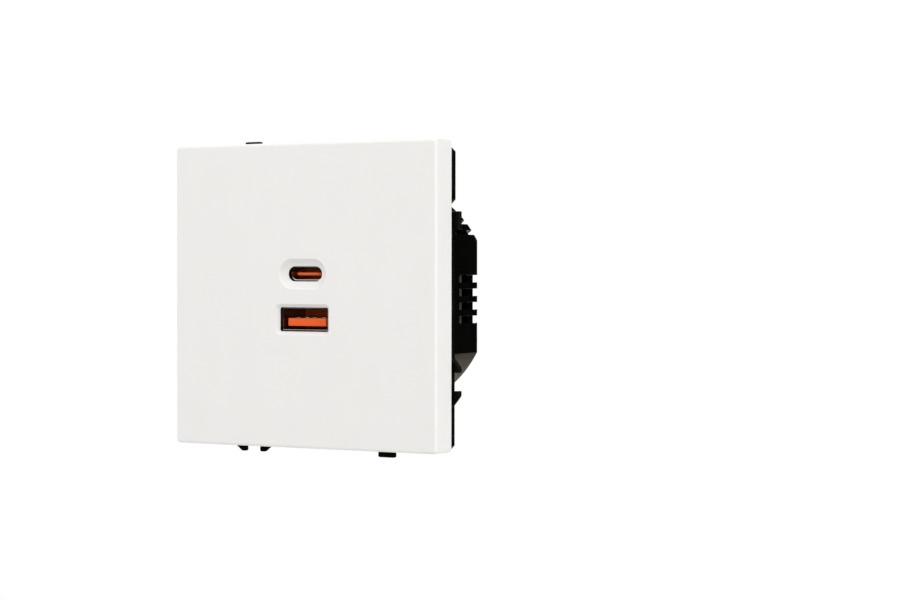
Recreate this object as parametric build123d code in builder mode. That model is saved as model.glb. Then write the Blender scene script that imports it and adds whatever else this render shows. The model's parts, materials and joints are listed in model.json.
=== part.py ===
"""Flush wall socket with two charging ports.

X runs to the right as seen from the room, Y runs into the wall and Z runs up.
The origin is the middle of the support frame, in the plane of the wall. Sizes are in millimetres.
"""

import os
from math import cos, radians, sin, tan

from build123d import *

os.makedirs("parts", exist_ok=True)

# Front plate
plate_size = 71.0
plate_depth = 7.1
plate_front_wall = 2.0
plate_rim_wall = 1.8
plate_corner_radius = 1.0
plate_edge_radius = 0.7
plate_lift = 0.5
plate_rib_height = 0.45
plate_rib_wall = 1.0
plate_rib_span = 58.0

# Pegs that hold the plate in the frame
peg_offset_x = 29.0
peg_offset_z = 18.2
peg_width = 4.0
peg_thick = 1.4
peg_tip_gap = 0.4
peg_tip_cut = 0.3
peg_clearance = 0.1
finger_thick = 1.3
finger_gap = 1.9

# Support frame
frame_size = 69.7
frame_thick = 1.85
frame_gap = 0.95
frame_corner_cut = 1.25
screw_slot_spacing = 60.0
screw_slot_length = 6.0
screw_slot_width = 3.8
pad_width = 6.0
pad_offset_x = 12.0
pad_height = 0.75
upper_pad_level = 28.8
upper_pad_size = 1.0
lower_pad_level = -27.1
lower_pad_size = 1.7

# Link tabs and hooks on the edges of the frame
tab_offset = 17.7
hook_offset = 19.0
tab_base = 3.7
tab_tip = 4.2
tab_reach = 2.1
hook_reach = 2.1
tab_thick = 1.3
tab_setback = 0.3
tab_edge_cut = 0.3
bay_depth = 1.1
bay_margin = 1.4
notch_clearance = 0.3
hook_gap_base = 4.4
hook_gap_tip = 4.1
hook_base = 5.0
hook_tip = 1.2
lug_reach = 0.2

# Boss in front of the frame and collar behind it
boss_gap = 0.6
boss_wall = 1.5
boss_radius = 27.4
boss_half_width = 24.6
boss_half_height = 24.2
boss_edge_cut = 0.8
collar_depth = 3.4
collar_wall = 1.15
collar_foot = 0.7
collar_notch_radius = 4.0
collar_notch_depth = 0.7
collar_notch_level = 13.4

# Rear housing
housing_depth = 31.7
housing_radius = 28.0
housing_half_width = 24.5
housing_half_height = 23.4
housing_wall = 1.4
housing_draft_angle = 0.7
housing_edge_cut = 0.35
housing_edge_angle = 45.0
housing_clearance = 0.12
catch_width = 9.0
catch_length = 2.6
catch_height = 0.8

# Vents of the rear housing
vent_count = 4
side_vent_pitch = 3.25
side_vent_height = 1.75
side_vent_length = 9.8
side_vent_level = -0.6
corner_vent_first_angle = 33.9
corner_vent_step_angle = 6.6
corner_vent_width = 1.3
corner_vent_length = 10.0
vent_break_through = 0.35

# Ports
usb_c_level = 5.5
usb_a_level = -5.1
port_lip = 0.15
port_pocket_margin = 1.2
port_guard_gap = 0.25
port_guard_base = 0.4
socket_wall = 0.3
usb_c_width = 8.94
usb_c_height = 3.26
usb_c_setback = 0.95
usb_c_tongue_width = 6.69
usb_c_tongue_thick = 0.7
usb_c_tongue_setback = 0.4
usb_c_base_depth = 5.9
usb_c_base_side = 0.4
usb_c_pad_count = 8
usb_c_pad_pitch = 0.72
usb_c_pad_width = 0.36
usb_c_pad_thick = 0.08
usb_c_pad_setback = 0.7
funnel_width = 1.75
funnel_depth = 1.45
usb_a_width = 12.7
usb_a_height = 5.3
usb_a_setback = 0.6
usb_a_opening_width = 13.1
usb_a_opening_height = 5.6
usb_a_opening_round = 0.45
usb_a_bevel_width = 0.8
usb_a_bevel_depth = 0.95
usb_a_tongue_width = 10.4
usb_a_tongue_thick = 1.84
usb_a_tongue_drop = 0.65
usb_a_tongue_setback = 0.7
usb_a_base_depth = 3.5
usb_a_pin_places = (-3.5, -1.0, 1.0, 3.5)
usb_a_pin_width = 1.0
usb_a_pin_thick = 0.3
usb_a_pin_setback = 1.75
socket_clearance = 0.12

# Port board
port_board_level = 5.0
port_board_thick = 1.2
port_board_inset = 3.4
port_board_corner_cut = 8.0
post_offset_x = 17.0
post_offset_z = 13.0
post_diameter = 4.4
pilot_diameter = 1.6
pilot_depth = 6.0

# Main board
main_board_rear_room = 3.7
main_board_thick = 1.1
main_board_gap = 0.375
board_rest_size = 3.4
lower_board_rest_x = 17.5
lower_board_rest_z = -14.0
upper_board_rest_x = 12.5
upper_board_rest_z = 17.6

# Screws that hold the port board
board_screw_shank = 1.5
board_screw_head = 3.6
board_screw_head_height = 1.2
board_screw_length = 5.0
board_screw_hole = 2.0

# Pins that join the boards
link_pin_count = 6
link_pin_pitch = 2.54
link_pin_size = 0.64
link_pin_hole = 1.0
link_pin_inset = 5.9
link_pin_tail = 1.4
pin_strip_height = 2.5
pin_strip_thick = 2.4

# Terminals for the live and neutral wires
terminal_offset = 5.1
terminal_board_gap = 3.2
screw_shank_diameter = 2.9
screw_running_clearance = 0.05
screw_head_diameter = 4.6
screw_head_height = 3.2
screw_head_proud = 1.25
screw_head_edge = 0.45
screw_driver_slot = 0.8
screw_driver_depth = 1.0
screw_length = 6.0
screw_access_diameter = 5.2
clamp_width = 6.8
clamp_length = 6.0
clamp_thick = 1.0
clamp_edge_cut = 0.3
wire_gap = 2.0
bar_width = 6.6
bar_thick = 1.2
bar_length = 6.4
bar_upright = 5.6
bar_upright_thick = 1.0
tail_width = 2.0
tail_thick = 0.8
tail_reach = 1.0
tail_clearance = 0.2
wire_hole_diameter = 3.2
wire_hole_funnel = 0.6
terminal_wall = 1.0
terminal_wall_offset = 10.2
terminal_wall_length = 7.0
terminal_wall_gap = 0.3
terminal_wall_height = 8.8
board_bay_half_width = 9.9
board_bay_margin = 1.15

# Transformer
transformer_height = 6.0
transformer_seat = 7.2
core_length = 14.2
core_width = 16.0
core_thick = 5.0
core_yoke = 2.0
core_side_leg = 2.0
core_middle_leg = 4.0
bobbin_clearance = 0.2
bobbin_wall = 0.6
bobbin_flange = 0.9
bobbin_length = 9.8
bobbin_flange_width = 11.4
bobbin_flange_depth = 12.2
winding_margin = 0.3
winding_corner_cut = 1.2
rail_depth = 2.6
rail_length = 2.8

# Capacitors, fuse and choke
input_can_diameter = 8.0
input_can_height = 14.0
input_can_x = 14.4
upper_can_z = 10.6
lower_can_z = 1.4
output_can_diameter = 6.3
output_can_height = 9.0
output_can_x = -13.6
output_can_z = 9.6
line_capacitor_width = 10.0
line_capacitor_thick = 5.0
line_capacitor_height = 9.0
line_capacitor_x = 13.4
line_capacitor_z = -8.4
line_capacitor_edge = 0.5
disc_capacitor_diameter = 7.0
disc_capacitor_thick = 3.4
disc_capacitor_z = -6.0
disc_capacitor_lead = 0.6
disc_capacitor_lead_pitch = 5.0
disc_capacitor_stand = 1.5
fuse_size = 6.0
fuse_corner_cut = 0.8
fuse_height = 7.5
fuse_x = -14.6
fuse_z = -9.2
choke_size = 7.0
choke_neck = 3.4
choke_flange = 1.4
choke_height = 8.0
choke_x = -14.2
choke_z = 0.6
coil_clearance = 0.2
coil_diameter = 6.2

# Chips
bridge_width = 6.0
bridge_depth = 4.0
bridge_height = 1.6
bridge_rise = 3.85
chip_edge_cut = 0.25
lead_thick = 0.3
lead_reach = 0.9
bridge_lead_width = 0.6
bridge_lead_pitch = 3.0
switch_chip_size = 5.0
switch_chip_height = 1.5
switch_chip_z = 6.0
switch_lead_count = 4
switch_lead_pitch = 1.27
switch_lead_width = 0.42
port_chip_size = 4.0
port_chip_height = 0.9
port_chip_z = 0.0

# Levels along Y that follow from the sizes above
wall_level = 0.0
frame_front = wall_level - frame_thick
plate_rear = frame_front - frame_gap
plate_front = plate_rear - plate_depth
plate_inner = plate_front + plate_front_wall
boss_front = plate_inner + boss_gap
boss_inner = boss_front + boss_wall
housing_inner_rear = housing_depth - housing_wall
port_board_rear = port_board_level + port_board_thick
main_board_rear = housing_inner_rear - main_board_rear_room
main_board_level = main_board_rear - main_board_thick
terminal_level = main_board_level - terminal_board_gap
terminal_wall_end = main_board_level - terminal_wall_gap
terminal_wall_start = terminal_wall_end - terminal_wall_length
side_vent_start = housing_depth - side_vent_length
usb_c_edge = plate_front + funnel_depth
usb_a_edge = plate_front + usb_a_bevel_depth
usb_c_pocket = usb_c_edge + port_lip
usb_a_pocket = usb_a_edge + port_lip
usb_c_guard_front = usb_c_pocket + port_guard_gap
usb_a_guard_front = usb_a_pocket + port_guard_gap
usb_c_front = usb_c_edge + usb_c_setback
usb_a_front = usb_a_edge + usb_a_setback
usb_c_tongue_tip = usb_c_front + usb_c_tongue_setback
usb_a_tongue_tip = usb_a_front + usb_a_tongue_setback
peg_tip = wall_level - peg_tip_gap
finger_front = plate_inner + finger_gap

# Shapes that follow from the sizes above
frame_edge = frame_size / 2
plate_cavity = plate_size - 2 * plate_rim_wall
plate_rib_inside = plate_rib_span - 2 * plate_rib_wall
tab_places = (
    ("right", tab_offset),
    ("lower", tab_offset),
    ("left", -hook_offset),
    ("upper", -hook_offset),
)
port_screw_places = ((-post_offset_x, post_offset_z), (post_offset_x, -post_offset_z))
port_rest_places = ((post_offset_x, post_offset_z), (-post_offset_x, -post_offset_z))
finger_pitch = peg_thick + 2 * peg_clearance + finger_thick
vent_depth = housing_wall + vent_break_through
side_vent_floor = housing_half_width - vent_depth
corner_vent_range = corner_vent_step_angle * (vent_count - 1)
catch_start = collar_depth + housing_clearance
usb_c_opening_width = usb_c_width + 2 * socket_clearance
usb_c_opening_height = usb_c_height + 2 * socket_clearance
port_guard_wall = port_pocket_margin - port_guard_gap
port_guard_width = usb_a_opening_width + 2 * port_guard_wall
port_guard_top = usb_c_level + usb_c_opening_height / 2 + port_guard_wall
port_guard_bottom = usb_a_level - usb_a_opening_height / 2 - port_guard_wall
usb_c_inner_width = usb_c_width - 2 * socket_wall
usb_c_inner_height = usb_c_height - 2 * socket_wall
usb_a_inner_width = usb_a_width - 2 * socket_wall
usb_a_inner_height = usb_a_height - 2 * socket_wall
usb_a_tongue_middle = usb_a_level - usb_a_tongue_drop
usb_a_tongue_top = usb_a_tongue_middle + usb_a_tongue_thick / 2
main_board_inset = housing_wall + main_board_gap + main_board_rear * tan(radians(housing_draft_angle))
link_pin_level = housing_half_height - link_pin_inset
screw_head_seat = screw_head_height - screw_head_proud - housing_half_height
clamp_top = screw_head_seat + clamp_thick
bar_bottom = clamp_top + wire_gap
bar_top = bar_bottom + bar_thick
wire_level = clamp_top + wire_gap / 2
tail_level = bar_bottom + bar_upright - 2 * tail_thick
bridge_z = tail_level + bridge_rise
board_bay_top = tail_level - board_bay_margin
terminal_wall_base = housing_wall / 2 - housing_half_height
terminal_wall_top = terminal_wall_height - housing_half_height
terminal_places = {"live": -terminal_offset, "neutral": terminal_offset}
transformer_level = main_board_level - transformer_seat
core_window_height = (core_width - core_middle_leg) / 2 - core_side_leg
bobbin_hole_depth = core_thick + 2 * bobbin_clearance
bobbin_hole_height = core_middle_leg + 2 * bobbin_clearance
bobbin_tube_depth = bobbin_hole_depth + 2 * bobbin_wall
bobbin_tube_height = bobbin_hole_height + 2 * bobbin_wall
can_places = (
    ("input_capacitor_upper", input_can_x, upper_can_z, input_can_diameter, input_can_height),
    ("input_capacitor_lower", input_can_x, lower_can_z, input_can_diameter, input_can_height),
    ("output_capacitor", output_can_x, output_can_z, output_can_diameter, output_can_height),
)


def at(level):
    """Plane that faces the room at a depth along Y; its x is X and its y is Z."""
    return Plane.XZ.offset(-level)


def flatted_disc(radius, half_width, half_height, grow=0.0):
    """Round outline with four flats, grown or shrunk all around."""
    Circle(radius + grow)
    Rectangle(2 * (half_width + grow), 2 * (half_height + grow), mode=Mode.INTERSECT)


def tapered_cup(grow, depth):
    """Cone with four tapered flats and a cut rear edge, grown or shrunk all around."""
    shoulder = depth - housing_edge_cut
    shrink = shoulder * tan(radians(housing_draft_angle))
    flats = (
        (Vector(1, 0, 0), housing_half_width + grow),
        (Vector(-1, 0, 0), housing_half_width + grow),
        (Vector(0, 0, 1), housing_half_height + grow),
        (Vector(0, 0, -1), housing_half_height + grow),
    )
    leans = ((wall_level, 0, housing_draft_angle), (shoulder, shrink, housing_edge_angle))
    with BuildPart() as cup:
        with BuildSketch(at(wall_level)):
            Circle(housing_radius + grow)
        extrude(amount=-shoulder, taper=housing_draft_angle)
        with BuildSketch(at(shoulder)):
            Circle(housing_radius + grow - shrink)
        extrude(amount=-housing_edge_cut, taper=housing_edge_angle)
        for out, reach in flats:
            for level, inset, angle in leans:
                place = out * (reach - inset) + Vector(0, level, 0)
                leaning = out * cos(radians(angle)) + Vector(0, sin(radians(angle)), 0)
                split(bisect_by=Plane(place, z_dir=leaning), keep=Keep.BOTTOM)
    return cup.part


def edge_points(side, points):
    """Turns points given as along and out from the middle into points on one edge of the frame."""
    turns = {
        "right": lambda along, out: (out, along),
        "left": lambda along, out: (-out, along),
        "upper": lambda along, out: (along, out),
        "lower": lambda along, out: (along, -out),
    }
    return [turns[side](along, out) for along, out in points]


def tab_points(middle):
    """Dovetail tab, wider at its tip than at its base."""
    base = frame_edge - 2 * bay_depth
    tip = frame_edge + tab_reach
    return [
        (middle - tab_base / 2, base),
        (middle + tab_base / 2, base),
        (middle + tab_tip / 2, tip),
        (middle - tab_tip / 2, tip),
    ]


def bay_points(middle):
    """Recess around a tab that takes the hooks of the next frame."""
    half = tab_tip / 2 + bay_margin
    floor = frame_edge - bay_depth
    mouth = frame_edge + bay_depth
    return [
        (middle - half, floor),
        (middle + half, floor),
        (middle + half + 2 * bay_depth, mouth),
        (middle - half - 2 * bay_depth, mouth),
    ]


def lug_points():
    """Raised length of edge between a bay and the cut corner."""
    start = tab_offset + tab_tip / 2 + bay_margin
    end = frame_edge - frame_corner_cut
    return [
        (start, frame_edge - bay_depth),
        (start + bay_depth + lug_reach, frame_edge + lug_reach),
        (end - lug_reach, frame_edge + lug_reach),
        (end + bay_depth, frame_edge - bay_depth),
    ]


def notch_points(middle):
    """Dovetail notch that takes the tab of the next frame."""
    floor = frame_edge - tab_reach - notch_clearance
    return [
        (middle - tab_tip / 2 - notch_clearance, floor),
        (middle + tab_tip / 2 + notch_clearance, floor),
        (middle + tab_base / 2 + notch_clearance, frame_edge + bay_depth),
        (middle - tab_base / 2 - notch_clearance, frame_edge + bay_depth),
    ]


def hook_points(middle, sign):
    """One hook of a pair, leaning towards the other, with a slanted outer side."""
    base = frame_edge - bay_depth
    tip = frame_edge + hook_reach
    return [
        (middle + sign * hook_gap_base / 2, base),
        (middle + sign * (hook_gap_base / 2 + hook_base), base),
        (middle + sign * (hook_gap_tip / 2 + hook_tip), tip),
        (middle + sign * hook_gap_tip / 2, tip),
    ]


def is_tip_edge(edge):
    """Tells whether an edge runs along the tip of a tab or hook."""
    middle = edge.center()
    along = edge @ 1 - edge @ 0
    return max(abs(middle.X), abs(middle.Z)) > frame_edge + tab_reach / 2 and abs(along.Y) < tab_thick / 2


# Front plate: a white shell with a funnel around one opening and a bevel around the other
with BuildPart() as front_plate:
    with BuildSketch(at(plate_rear)):
        with Locations((0, plate_lift)):
            RectangleRounded(plate_size, plate_size, plate_corner_radius)
    extrude(amount=plate_depth)
    fillet(front_plate.faces().sort_by(Axis.Y)[0].edges(), plate_edge_radius)
    with BuildSketch(at(plate_rear)):
        with Locations((0, plate_lift)):
            Rectangle(plate_cavity, plate_cavity)
    extrude(amount=plate_depth - plate_front_wall, mode=Mode.SUBTRACT)
    with BuildSketch(at(plate_inner)):
        with Locations((0, usb_c_level)):
            SlotOverall(usb_c_opening_width, usb_c_opening_height)
        with Locations((0, usb_a_level)):
            RectangleRounded(usb_a_opening_width, usb_a_opening_height, usb_a_opening_round)
    extrude(amount=plate_front_wall, mode=Mode.SUBTRACT)
    front_face = front_plate.faces().sort_by(Axis.Y)[0]
    funnel_rim = front_face.inner_wires().sort_by(Axis.Z)[-1].edges()
    chamfer(funnel_rim, funnel_width, funnel_depth, reference=front_face)
    front_face = front_plate.faces().sort_by(Axis.Y)[0]
    bevel_rim = front_face.inner_wires().sort_by(Axis.Z)[0].edges()
    chamfer(bevel_rim, usb_a_bevel_width, usb_a_bevel_depth, reference=front_face)
    with BuildSketch(at(plate_inner)):
        with Locations((0, usb_c_level)):
            Rectangle(usb_c_opening_width + 2 * port_pocket_margin, usb_c_opening_height + 2 * port_pocket_margin)
    extrude(amount=plate_inner - usb_c_pocket, mode=Mode.SUBTRACT)
    with BuildSketch(at(plate_inner)):
        with Locations((0, usb_a_level)):
            Rectangle(usb_a_opening_width + 2 * port_pocket_margin, usb_a_opening_height + 2 * port_pocket_margin)
    extrude(amount=plate_inner - usb_a_pocket, mode=Mode.SUBTRACT)
    with BuildSketch(at(plate_inner + plate_rib_height)):
        with Locations((0, plate_lift)):
            Rectangle(plate_rib_span, plate_rib_span)
            Rectangle(plate_rib_inside, plate_rib_inside, mode=Mode.SUBTRACT)
    extrude(amount=plate_rib_height)
    with BuildSketch(at(peg_tip)):
        with GridLocations(2 * peg_offset_x, 2 * peg_offset_z, 2, 2):
            Rectangle(peg_width, peg_thick)
    extrude(amount=peg_tip - plate_inner)
    chamfer(front_plate.faces().group_by(Axis.Y)[-1].edges(), peg_tip_cut)

# Support frame: edge outline with link tabs, boss in front, collar behind
with BuildPart() as support_frame:
    with BuildSketch(at(wall_level)) as frame_outline:
        Rectangle(frame_size, frame_size)
        chamfer(frame_outline.vertices(), frame_corner_cut)
        for side, middle in tab_places:
            Polygon(*edge_points(side, bay_points(middle)), mode=Mode.SUBTRACT)
        for side in ("left", "upper"):
            Polygon(*edge_points(side, notch_points(tab_offset)), mode=Mode.SUBTRACT)
        Polygon(*edge_points("right", lug_points()))
    extrude(amount=frame_thick)
    with BuildSketch(at(wall_level - tab_setback)):
        for side, middle in tab_places:
            Polygon(*edge_points(side, tab_points(middle)))
        for side in ("right", "lower"):
            for sign in (-1, 1):
                Polygon(*edge_points(side, hook_points(-hook_offset, sign)))
    extrude(amount=tab_thick)
    chamfer(support_frame.edges().filter_by(is_tip_edge), tab_edge_cut)
    with BuildSketch(at(wall_level)):
        flatted_disc(housing_radius, housing_half_width, housing_half_height, housing_clearance + collar_wall)
    extrude(amount=-collar_depth)
    with BuildSketch(at(frame_front)):
        flatted_disc(boss_radius, boss_half_width, boss_half_height)
    extrude(amount=frame_front - boss_front)
    chamfer(support_frame.faces().sort_by(Axis.Y)[0].edges(), boss_edge_cut)
    collar_face = support_frame.faces().filter_by_position(Axis.Y, wall_level, wall_level).sort_by(SortBy.AREA)[-1]
    chamfer(collar_face.inner_wires().sort_by(SortBy.LENGTH)[-1].edges(), collar_foot)
    with BuildSketch(at(wall_level)):
        flatted_disc(boss_radius, boss_half_width, boss_half_height, -boss_wall)
    extrude(amount=wall_level - boss_inner, mode=Mode.SUBTRACT)
    with BuildSketch(at(collar_depth)):
        flatted_disc(housing_radius, housing_half_width, housing_half_height, housing_clearance)
    extrude(amount=collar_depth, mode=Mode.SUBTRACT)
    with BuildSketch(Plane.YZ):
        with GridLocations(0, 2 * collar_notch_level, 1, 2):
            with Locations((collar_depth + collar_notch_radius - collar_notch_depth, 0)):
                Circle(collar_notch_radius)
    extrude(amount=frame_edge, both=True, mode=Mode.SUBTRACT)
    with BuildSketch(at(wall_level)):
        with GridLocations(screw_slot_spacing, 0, 2, 1):
            SlotOverall(screw_slot_length, screw_slot_width)
        with GridLocations(0, screw_slot_spacing, 1, 2):
            SlotOverall(screw_slot_length, screw_slot_width, rotation=90)
        with GridLocations(2 * peg_offset_x, 2 * peg_offset_z, 2, 2):
            Rectangle(peg_width + 2 * peg_clearance, peg_thick + 2 * peg_clearance)
    extrude(amount=frame_thick, mode=Mode.SUBTRACT)
    with BuildSketch(at(frame_front)):
        with GridLocations(2 * peg_offset_x, 2 * peg_offset_z, 2, 2):
            with GridLocations(0, finger_pitch, 1, 2):
                Rectangle(peg_width, finger_thick)
    extrude(amount=frame_front - finger_front)
    with BuildSketch(at(frame_front)):
        with GridLocations(2 * pad_offset_x, 0, 2, 1):
            with Locations((0, upper_pad_level)):
                Rectangle(pad_width, upper_pad_size)
            with Locations((0, lower_pad_level)):
                Rectangle(pad_width, lower_pad_size)
    extrude(amount=pad_height)
    with BuildSketch(at(boss_inner)):
        with Locations((0, usb_c_level)):
            SlotOverall(usb_c_opening_width, usb_c_opening_height)
        with Locations((0, usb_a_level)):
            Rectangle(usb_a_width + 2 * socket_clearance, usb_a_height + 2 * socket_clearance)
    extrude(amount=boss_wall, mode=Mode.SUBTRACT)
    with BuildSketch(at(port_board_level)):
        with Locations(*port_screw_places):
            Circle(post_diameter / 2)
        with Locations(*port_rest_places):
            Rectangle(post_diameter, post_diameter)
    extrude(amount=port_board_level - boss_inner)
    with BuildSketch(at(port_board_level)):
        with Locations(*port_screw_places):
            Circle(pilot_diameter / 2)
    extrude(amount=pilot_depth, mode=Mode.SUBTRACT)

# Port guard: black rims around both sockets, on a thin base, that reach into the pockets of the plate
with BuildPart() as port_guard:
    with BuildSketch(at(boss_front)):
        with Locations((0, port_guard_bottom)):
            Rectangle(port_guard_width, port_guard_top - port_guard_bottom, align=(Align.CENTER, Align.MIN))
    extrude(amount=port_guard_base)
    with BuildSketch(at(boss_front)):
        with Locations((0, usb_c_level)):
            Rectangle(usb_c_opening_width + 2 * port_guard_wall, usb_c_opening_height + 2 * port_guard_wall)
    extrude(amount=boss_front - usb_c_guard_front)
    with BuildSketch(at(boss_front)):
        with Locations((0, usb_a_level)):
            Rectangle(port_guard_width, usb_a_opening_height + 2 * port_guard_wall)
    extrude(amount=boss_front - usb_a_guard_front)
    with BuildSketch(at(boss_front)):
        with Locations((0, usb_c_level)):
            SlotOverall(usb_c_opening_width, usb_c_opening_height)
        with Locations((0, usb_a_level)):
            Rectangle(usb_a_width + 2 * socket_clearance, usb_a_height + 2 * socket_clearance)
    extrude(amount=boss_front - usb_a_guard_front, mode=Mode.SUBTRACT)

# Rear housing: tapered cup with vents, terminal walls and rests for the main board
housing_outside = tapered_cup(0, housing_depth)
housing_inside = tapered_cup(-housing_wall, housing_inner_rear)
with BuildPart() as rear_housing:
    add(housing_outside)
    add(housing_inside, mode=Mode.SUBTRACT)
    for sign in (-1, 1):
        with BuildSketch(Plane.YZ.offset(sign * side_vent_floor)):
            with Locations((side_vent_start, side_vent_level)):
                with GridLocations(0, side_vent_pitch, 1, vent_count):
                    Rectangle(2 * housing_depth, side_vent_height, align=(Align.MIN, Align.CENTER))
        extrude(amount=sign * housing_radius, mode=Mode.SUBTRACT)
    with BuildSketch(at(housing_depth)):
        with PolarLocations(
            housing_radius,
            vent_count,
            corner_vent_first_angle,
            corner_vent_range,
            endpoint=True,
        ):
            Rectangle(2 * vent_depth, corner_vent_width)
        mirror(about=Plane.YZ)
    extrude(amount=corner_vent_length, mode=Mode.SUBTRACT)
    with BuildSketch(Plane.YZ):
        Polygon(
            (catch_start, -housing_half_height + housing_wall / 2),
            (catch_start, -housing_half_height - catch_height),
            (catch_start + catch_length, -housing_half_height + housing_wall / 2),
        )
    extrude(amount=catch_width / 2, both=True)
    with BuildSketch(Plane.XY.offset(terminal_wall_base)):
        with Locations((0, (terminal_wall_start + terminal_wall_end) / 2)):
            with GridLocations(terminal_wall_offset, 0, 3, 1):
                Rectangle(terminal_wall, terminal_wall_length)
    extrude(amount=terminal_wall_top - terminal_wall_base)
    with BuildSketch(Plane.XY.offset(screw_head_seat)):
        with Locations((0, terminal_level)):
            with GridLocations(2 * terminal_offset, 0, 2, 1):
                Circle(screw_access_diameter / 2)
    extrude(amount=-housing_half_height, mode=Mode.SUBTRACT)
    with BuildSketch(at(housing_depth)):
        with Locations((0, wire_level)):
            with GridLocations(2 * terminal_offset, 0, 2, 1):
                Circle(wire_hole_diameter / 2)
    extrude(amount=housing_wall, mode=Mode.SUBTRACT)
    wire_rims = rear_housing.faces().sort_by(Axis.Y)[-1].inner_wires().edges()
    chamfer(wire_rims, wire_hole_funnel)
    with BuildSketch(at(housing_inner_rear)):
        with Locations((0, lower_board_rest_z)):
            with GridLocations(2 * lower_board_rest_x, 0, 2, 1):
                Rectangle(board_rest_size, board_rest_size)
        with Locations((0, upper_board_rest_z)):
            with GridLocations(2 * upper_board_rest_x, 0, 2, 1):
                Rectangle(board_rest_size, board_rest_size)
    extrude(amount=housing_inner_rear - main_board_rear)

# Small socket: oval shell, thin tongue on a base, contact pads on both sides
with BuildPart() as usb_c_shell:
    with BuildSketch(at(port_board_level)):
        with Locations((0, usb_c_level)):
            SlotOverall(usb_c_width, usb_c_height)
            SlotOverall(usb_c_inner_width, usb_c_inner_height, mode=Mode.SUBTRACT)
    extrude(amount=port_board_level - usb_c_front)

with BuildPart() as usb_c_tongue:
    with BuildSketch(at(port_board_level)) as usb_c_base:
        with Locations((0, usb_c_level)):
            Rectangle(usb_c_inner_width - usb_c_base_side, usb_c_inner_height)
        chamfer(usb_c_base.vertices(), (usb_c_inner_height - usb_c_base_side) / 2)
    extrude(amount=usb_c_base_depth)
    with BuildSketch(at(port_board_level - usb_c_base_depth)):
        with Locations((0, usb_c_level)):
            Rectangle(usb_c_tongue_width, usb_c_tongue_thick)
    extrude(amount=port_board_level - usb_c_base_depth - usb_c_tongue_tip)
    tip_face = usb_c_tongue.faces().sort_by(Axis.Y)[0]
    chamfer(tip_face.edges().filter_by(Axis.X), usb_c_tongue_thick / 4)

with BuildPart() as usb_c_contacts:
    with BuildSketch(at(port_board_level - usb_c_base_depth)):
        with Locations((0, usb_c_level)):
            with GridLocations(usb_c_pad_pitch, usb_c_tongue_thick + usb_c_pad_thick, usb_c_pad_count, 2):
                Rectangle(usb_c_pad_width, usb_c_pad_thick)
    extrude(amount=port_board_level - usb_c_base_depth - usb_c_tongue_tip - usb_c_pad_setback)

# Large socket: square shell, thick tongue low in the opening, four contact strips on top of it
with BuildPart() as usb_a_shell:
    with BuildSketch(at(port_board_level)):
        with Locations((0, usb_a_level)):
            Rectangle(usb_a_width, usb_a_height)
            Rectangle(usb_a_inner_width, usb_a_inner_height, mode=Mode.SUBTRACT)
    extrude(amount=port_board_level - usb_a_front)

with BuildPart() as usb_a_tongue:
    with BuildSketch(at(port_board_level)):
        with Locations((0, usb_a_level)):
            Rectangle(usb_a_inner_width, usb_a_inner_height)
    extrude(amount=usb_a_base_depth)
    with BuildSketch(at(port_board_level - usb_a_base_depth)):
        with Locations((0, usb_a_tongue_middle)):
            Rectangle(usb_a_tongue_width, usb_a_tongue_thick)
    extrude(amount=port_board_level - usb_a_base_depth - usb_a_tongue_tip)

with BuildPart() as usb_a_contacts:
    with BuildSketch(at(port_board_level - usb_a_base_depth)):
        with Locations(*[(place, usb_a_tongue_top + usb_a_pin_thick / 2) for place in usb_a_pin_places]):
            Rectangle(usb_a_pin_width, usb_a_pin_thick)
    extrude(amount=port_board_level - usb_a_base_depth - usb_a_tongue_tip - usb_a_pin_setback)
    tip_edges = usb_a_contacts.faces().group_by(Axis.Y)[0].edges().filter_by(Axis.X).group_by(Axis.Z)[-1]
    chamfer(tip_edges, usb_a_pin_thick / 2)

# Boards with their holes
with BuildPart() as port_board:
    with BuildSketch(at(port_board_rear)) as port_board_outline:
        Rectangle(2 * (housing_half_width - port_board_inset), 2 * (housing_half_height - port_board_inset))
        chamfer(port_board_outline.vertices(), port_board_corner_cut)
        with Locations(*port_screw_places):
            Circle(board_screw_hole / 2, mode=Mode.SUBTRACT)
        with Locations((0, link_pin_level)):
            with GridLocations(link_pin_pitch, 0, link_pin_count, 1):
                Rectangle(link_pin_hole, link_pin_hole, mode=Mode.SUBTRACT)
    extrude(amount=port_board_thick)

with BuildPart() as main_board:
    with BuildSketch(at(main_board_rear)):
        flatted_disc(housing_radius, housing_half_width, housing_half_height, -main_board_inset)
        with Locations((0, board_bay_top)):
            Rectangle(
                2 * board_bay_half_width,
                2 * housing_half_height,
                align=(Align.CENTER, Align.MAX),
                mode=Mode.SUBTRACT,
            )
        with Locations((0, link_pin_level)):
            with GridLocations(link_pin_pitch, 0, link_pin_count, 1):
                Rectangle(link_pin_hole, link_pin_hole, mode=Mode.SUBTRACT)
        with Locations((0, tail_level)):
            with GridLocations(2 * terminal_offset, 0, 2, 1):
                Rectangle(tail_width + 2 * tail_clearance, tail_thick + 2 * tail_clearance, mode=Mode.SUBTRACT)
    extrude(amount=main_board_thick)

# Screws of the port board
with BuildPart() as port_board_screws:
    with BuildSketch(at(port_board_rear)):
        with Locations(*port_screw_places):
            Circle(board_screw_head / 2)
    extrude(amount=-board_screw_head_height)
    with BuildSketch(at(port_board_rear)):
        with Locations(*port_screw_places):
            Circle(board_screw_shank / 2)
    extrude(amount=board_screw_length)

# Pins that join the boards
with BuildPart() as link_pins:
    with BuildSketch(at(main_board_rear + link_pin_tail)):
        with Locations((0, link_pin_level)):
            with GridLocations(link_pin_pitch, 0, link_pin_count, 1):
                Rectangle(link_pin_size, link_pin_size)
    extrude(amount=main_board_rear - port_board_level + 2 * link_pin_tail)

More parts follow.
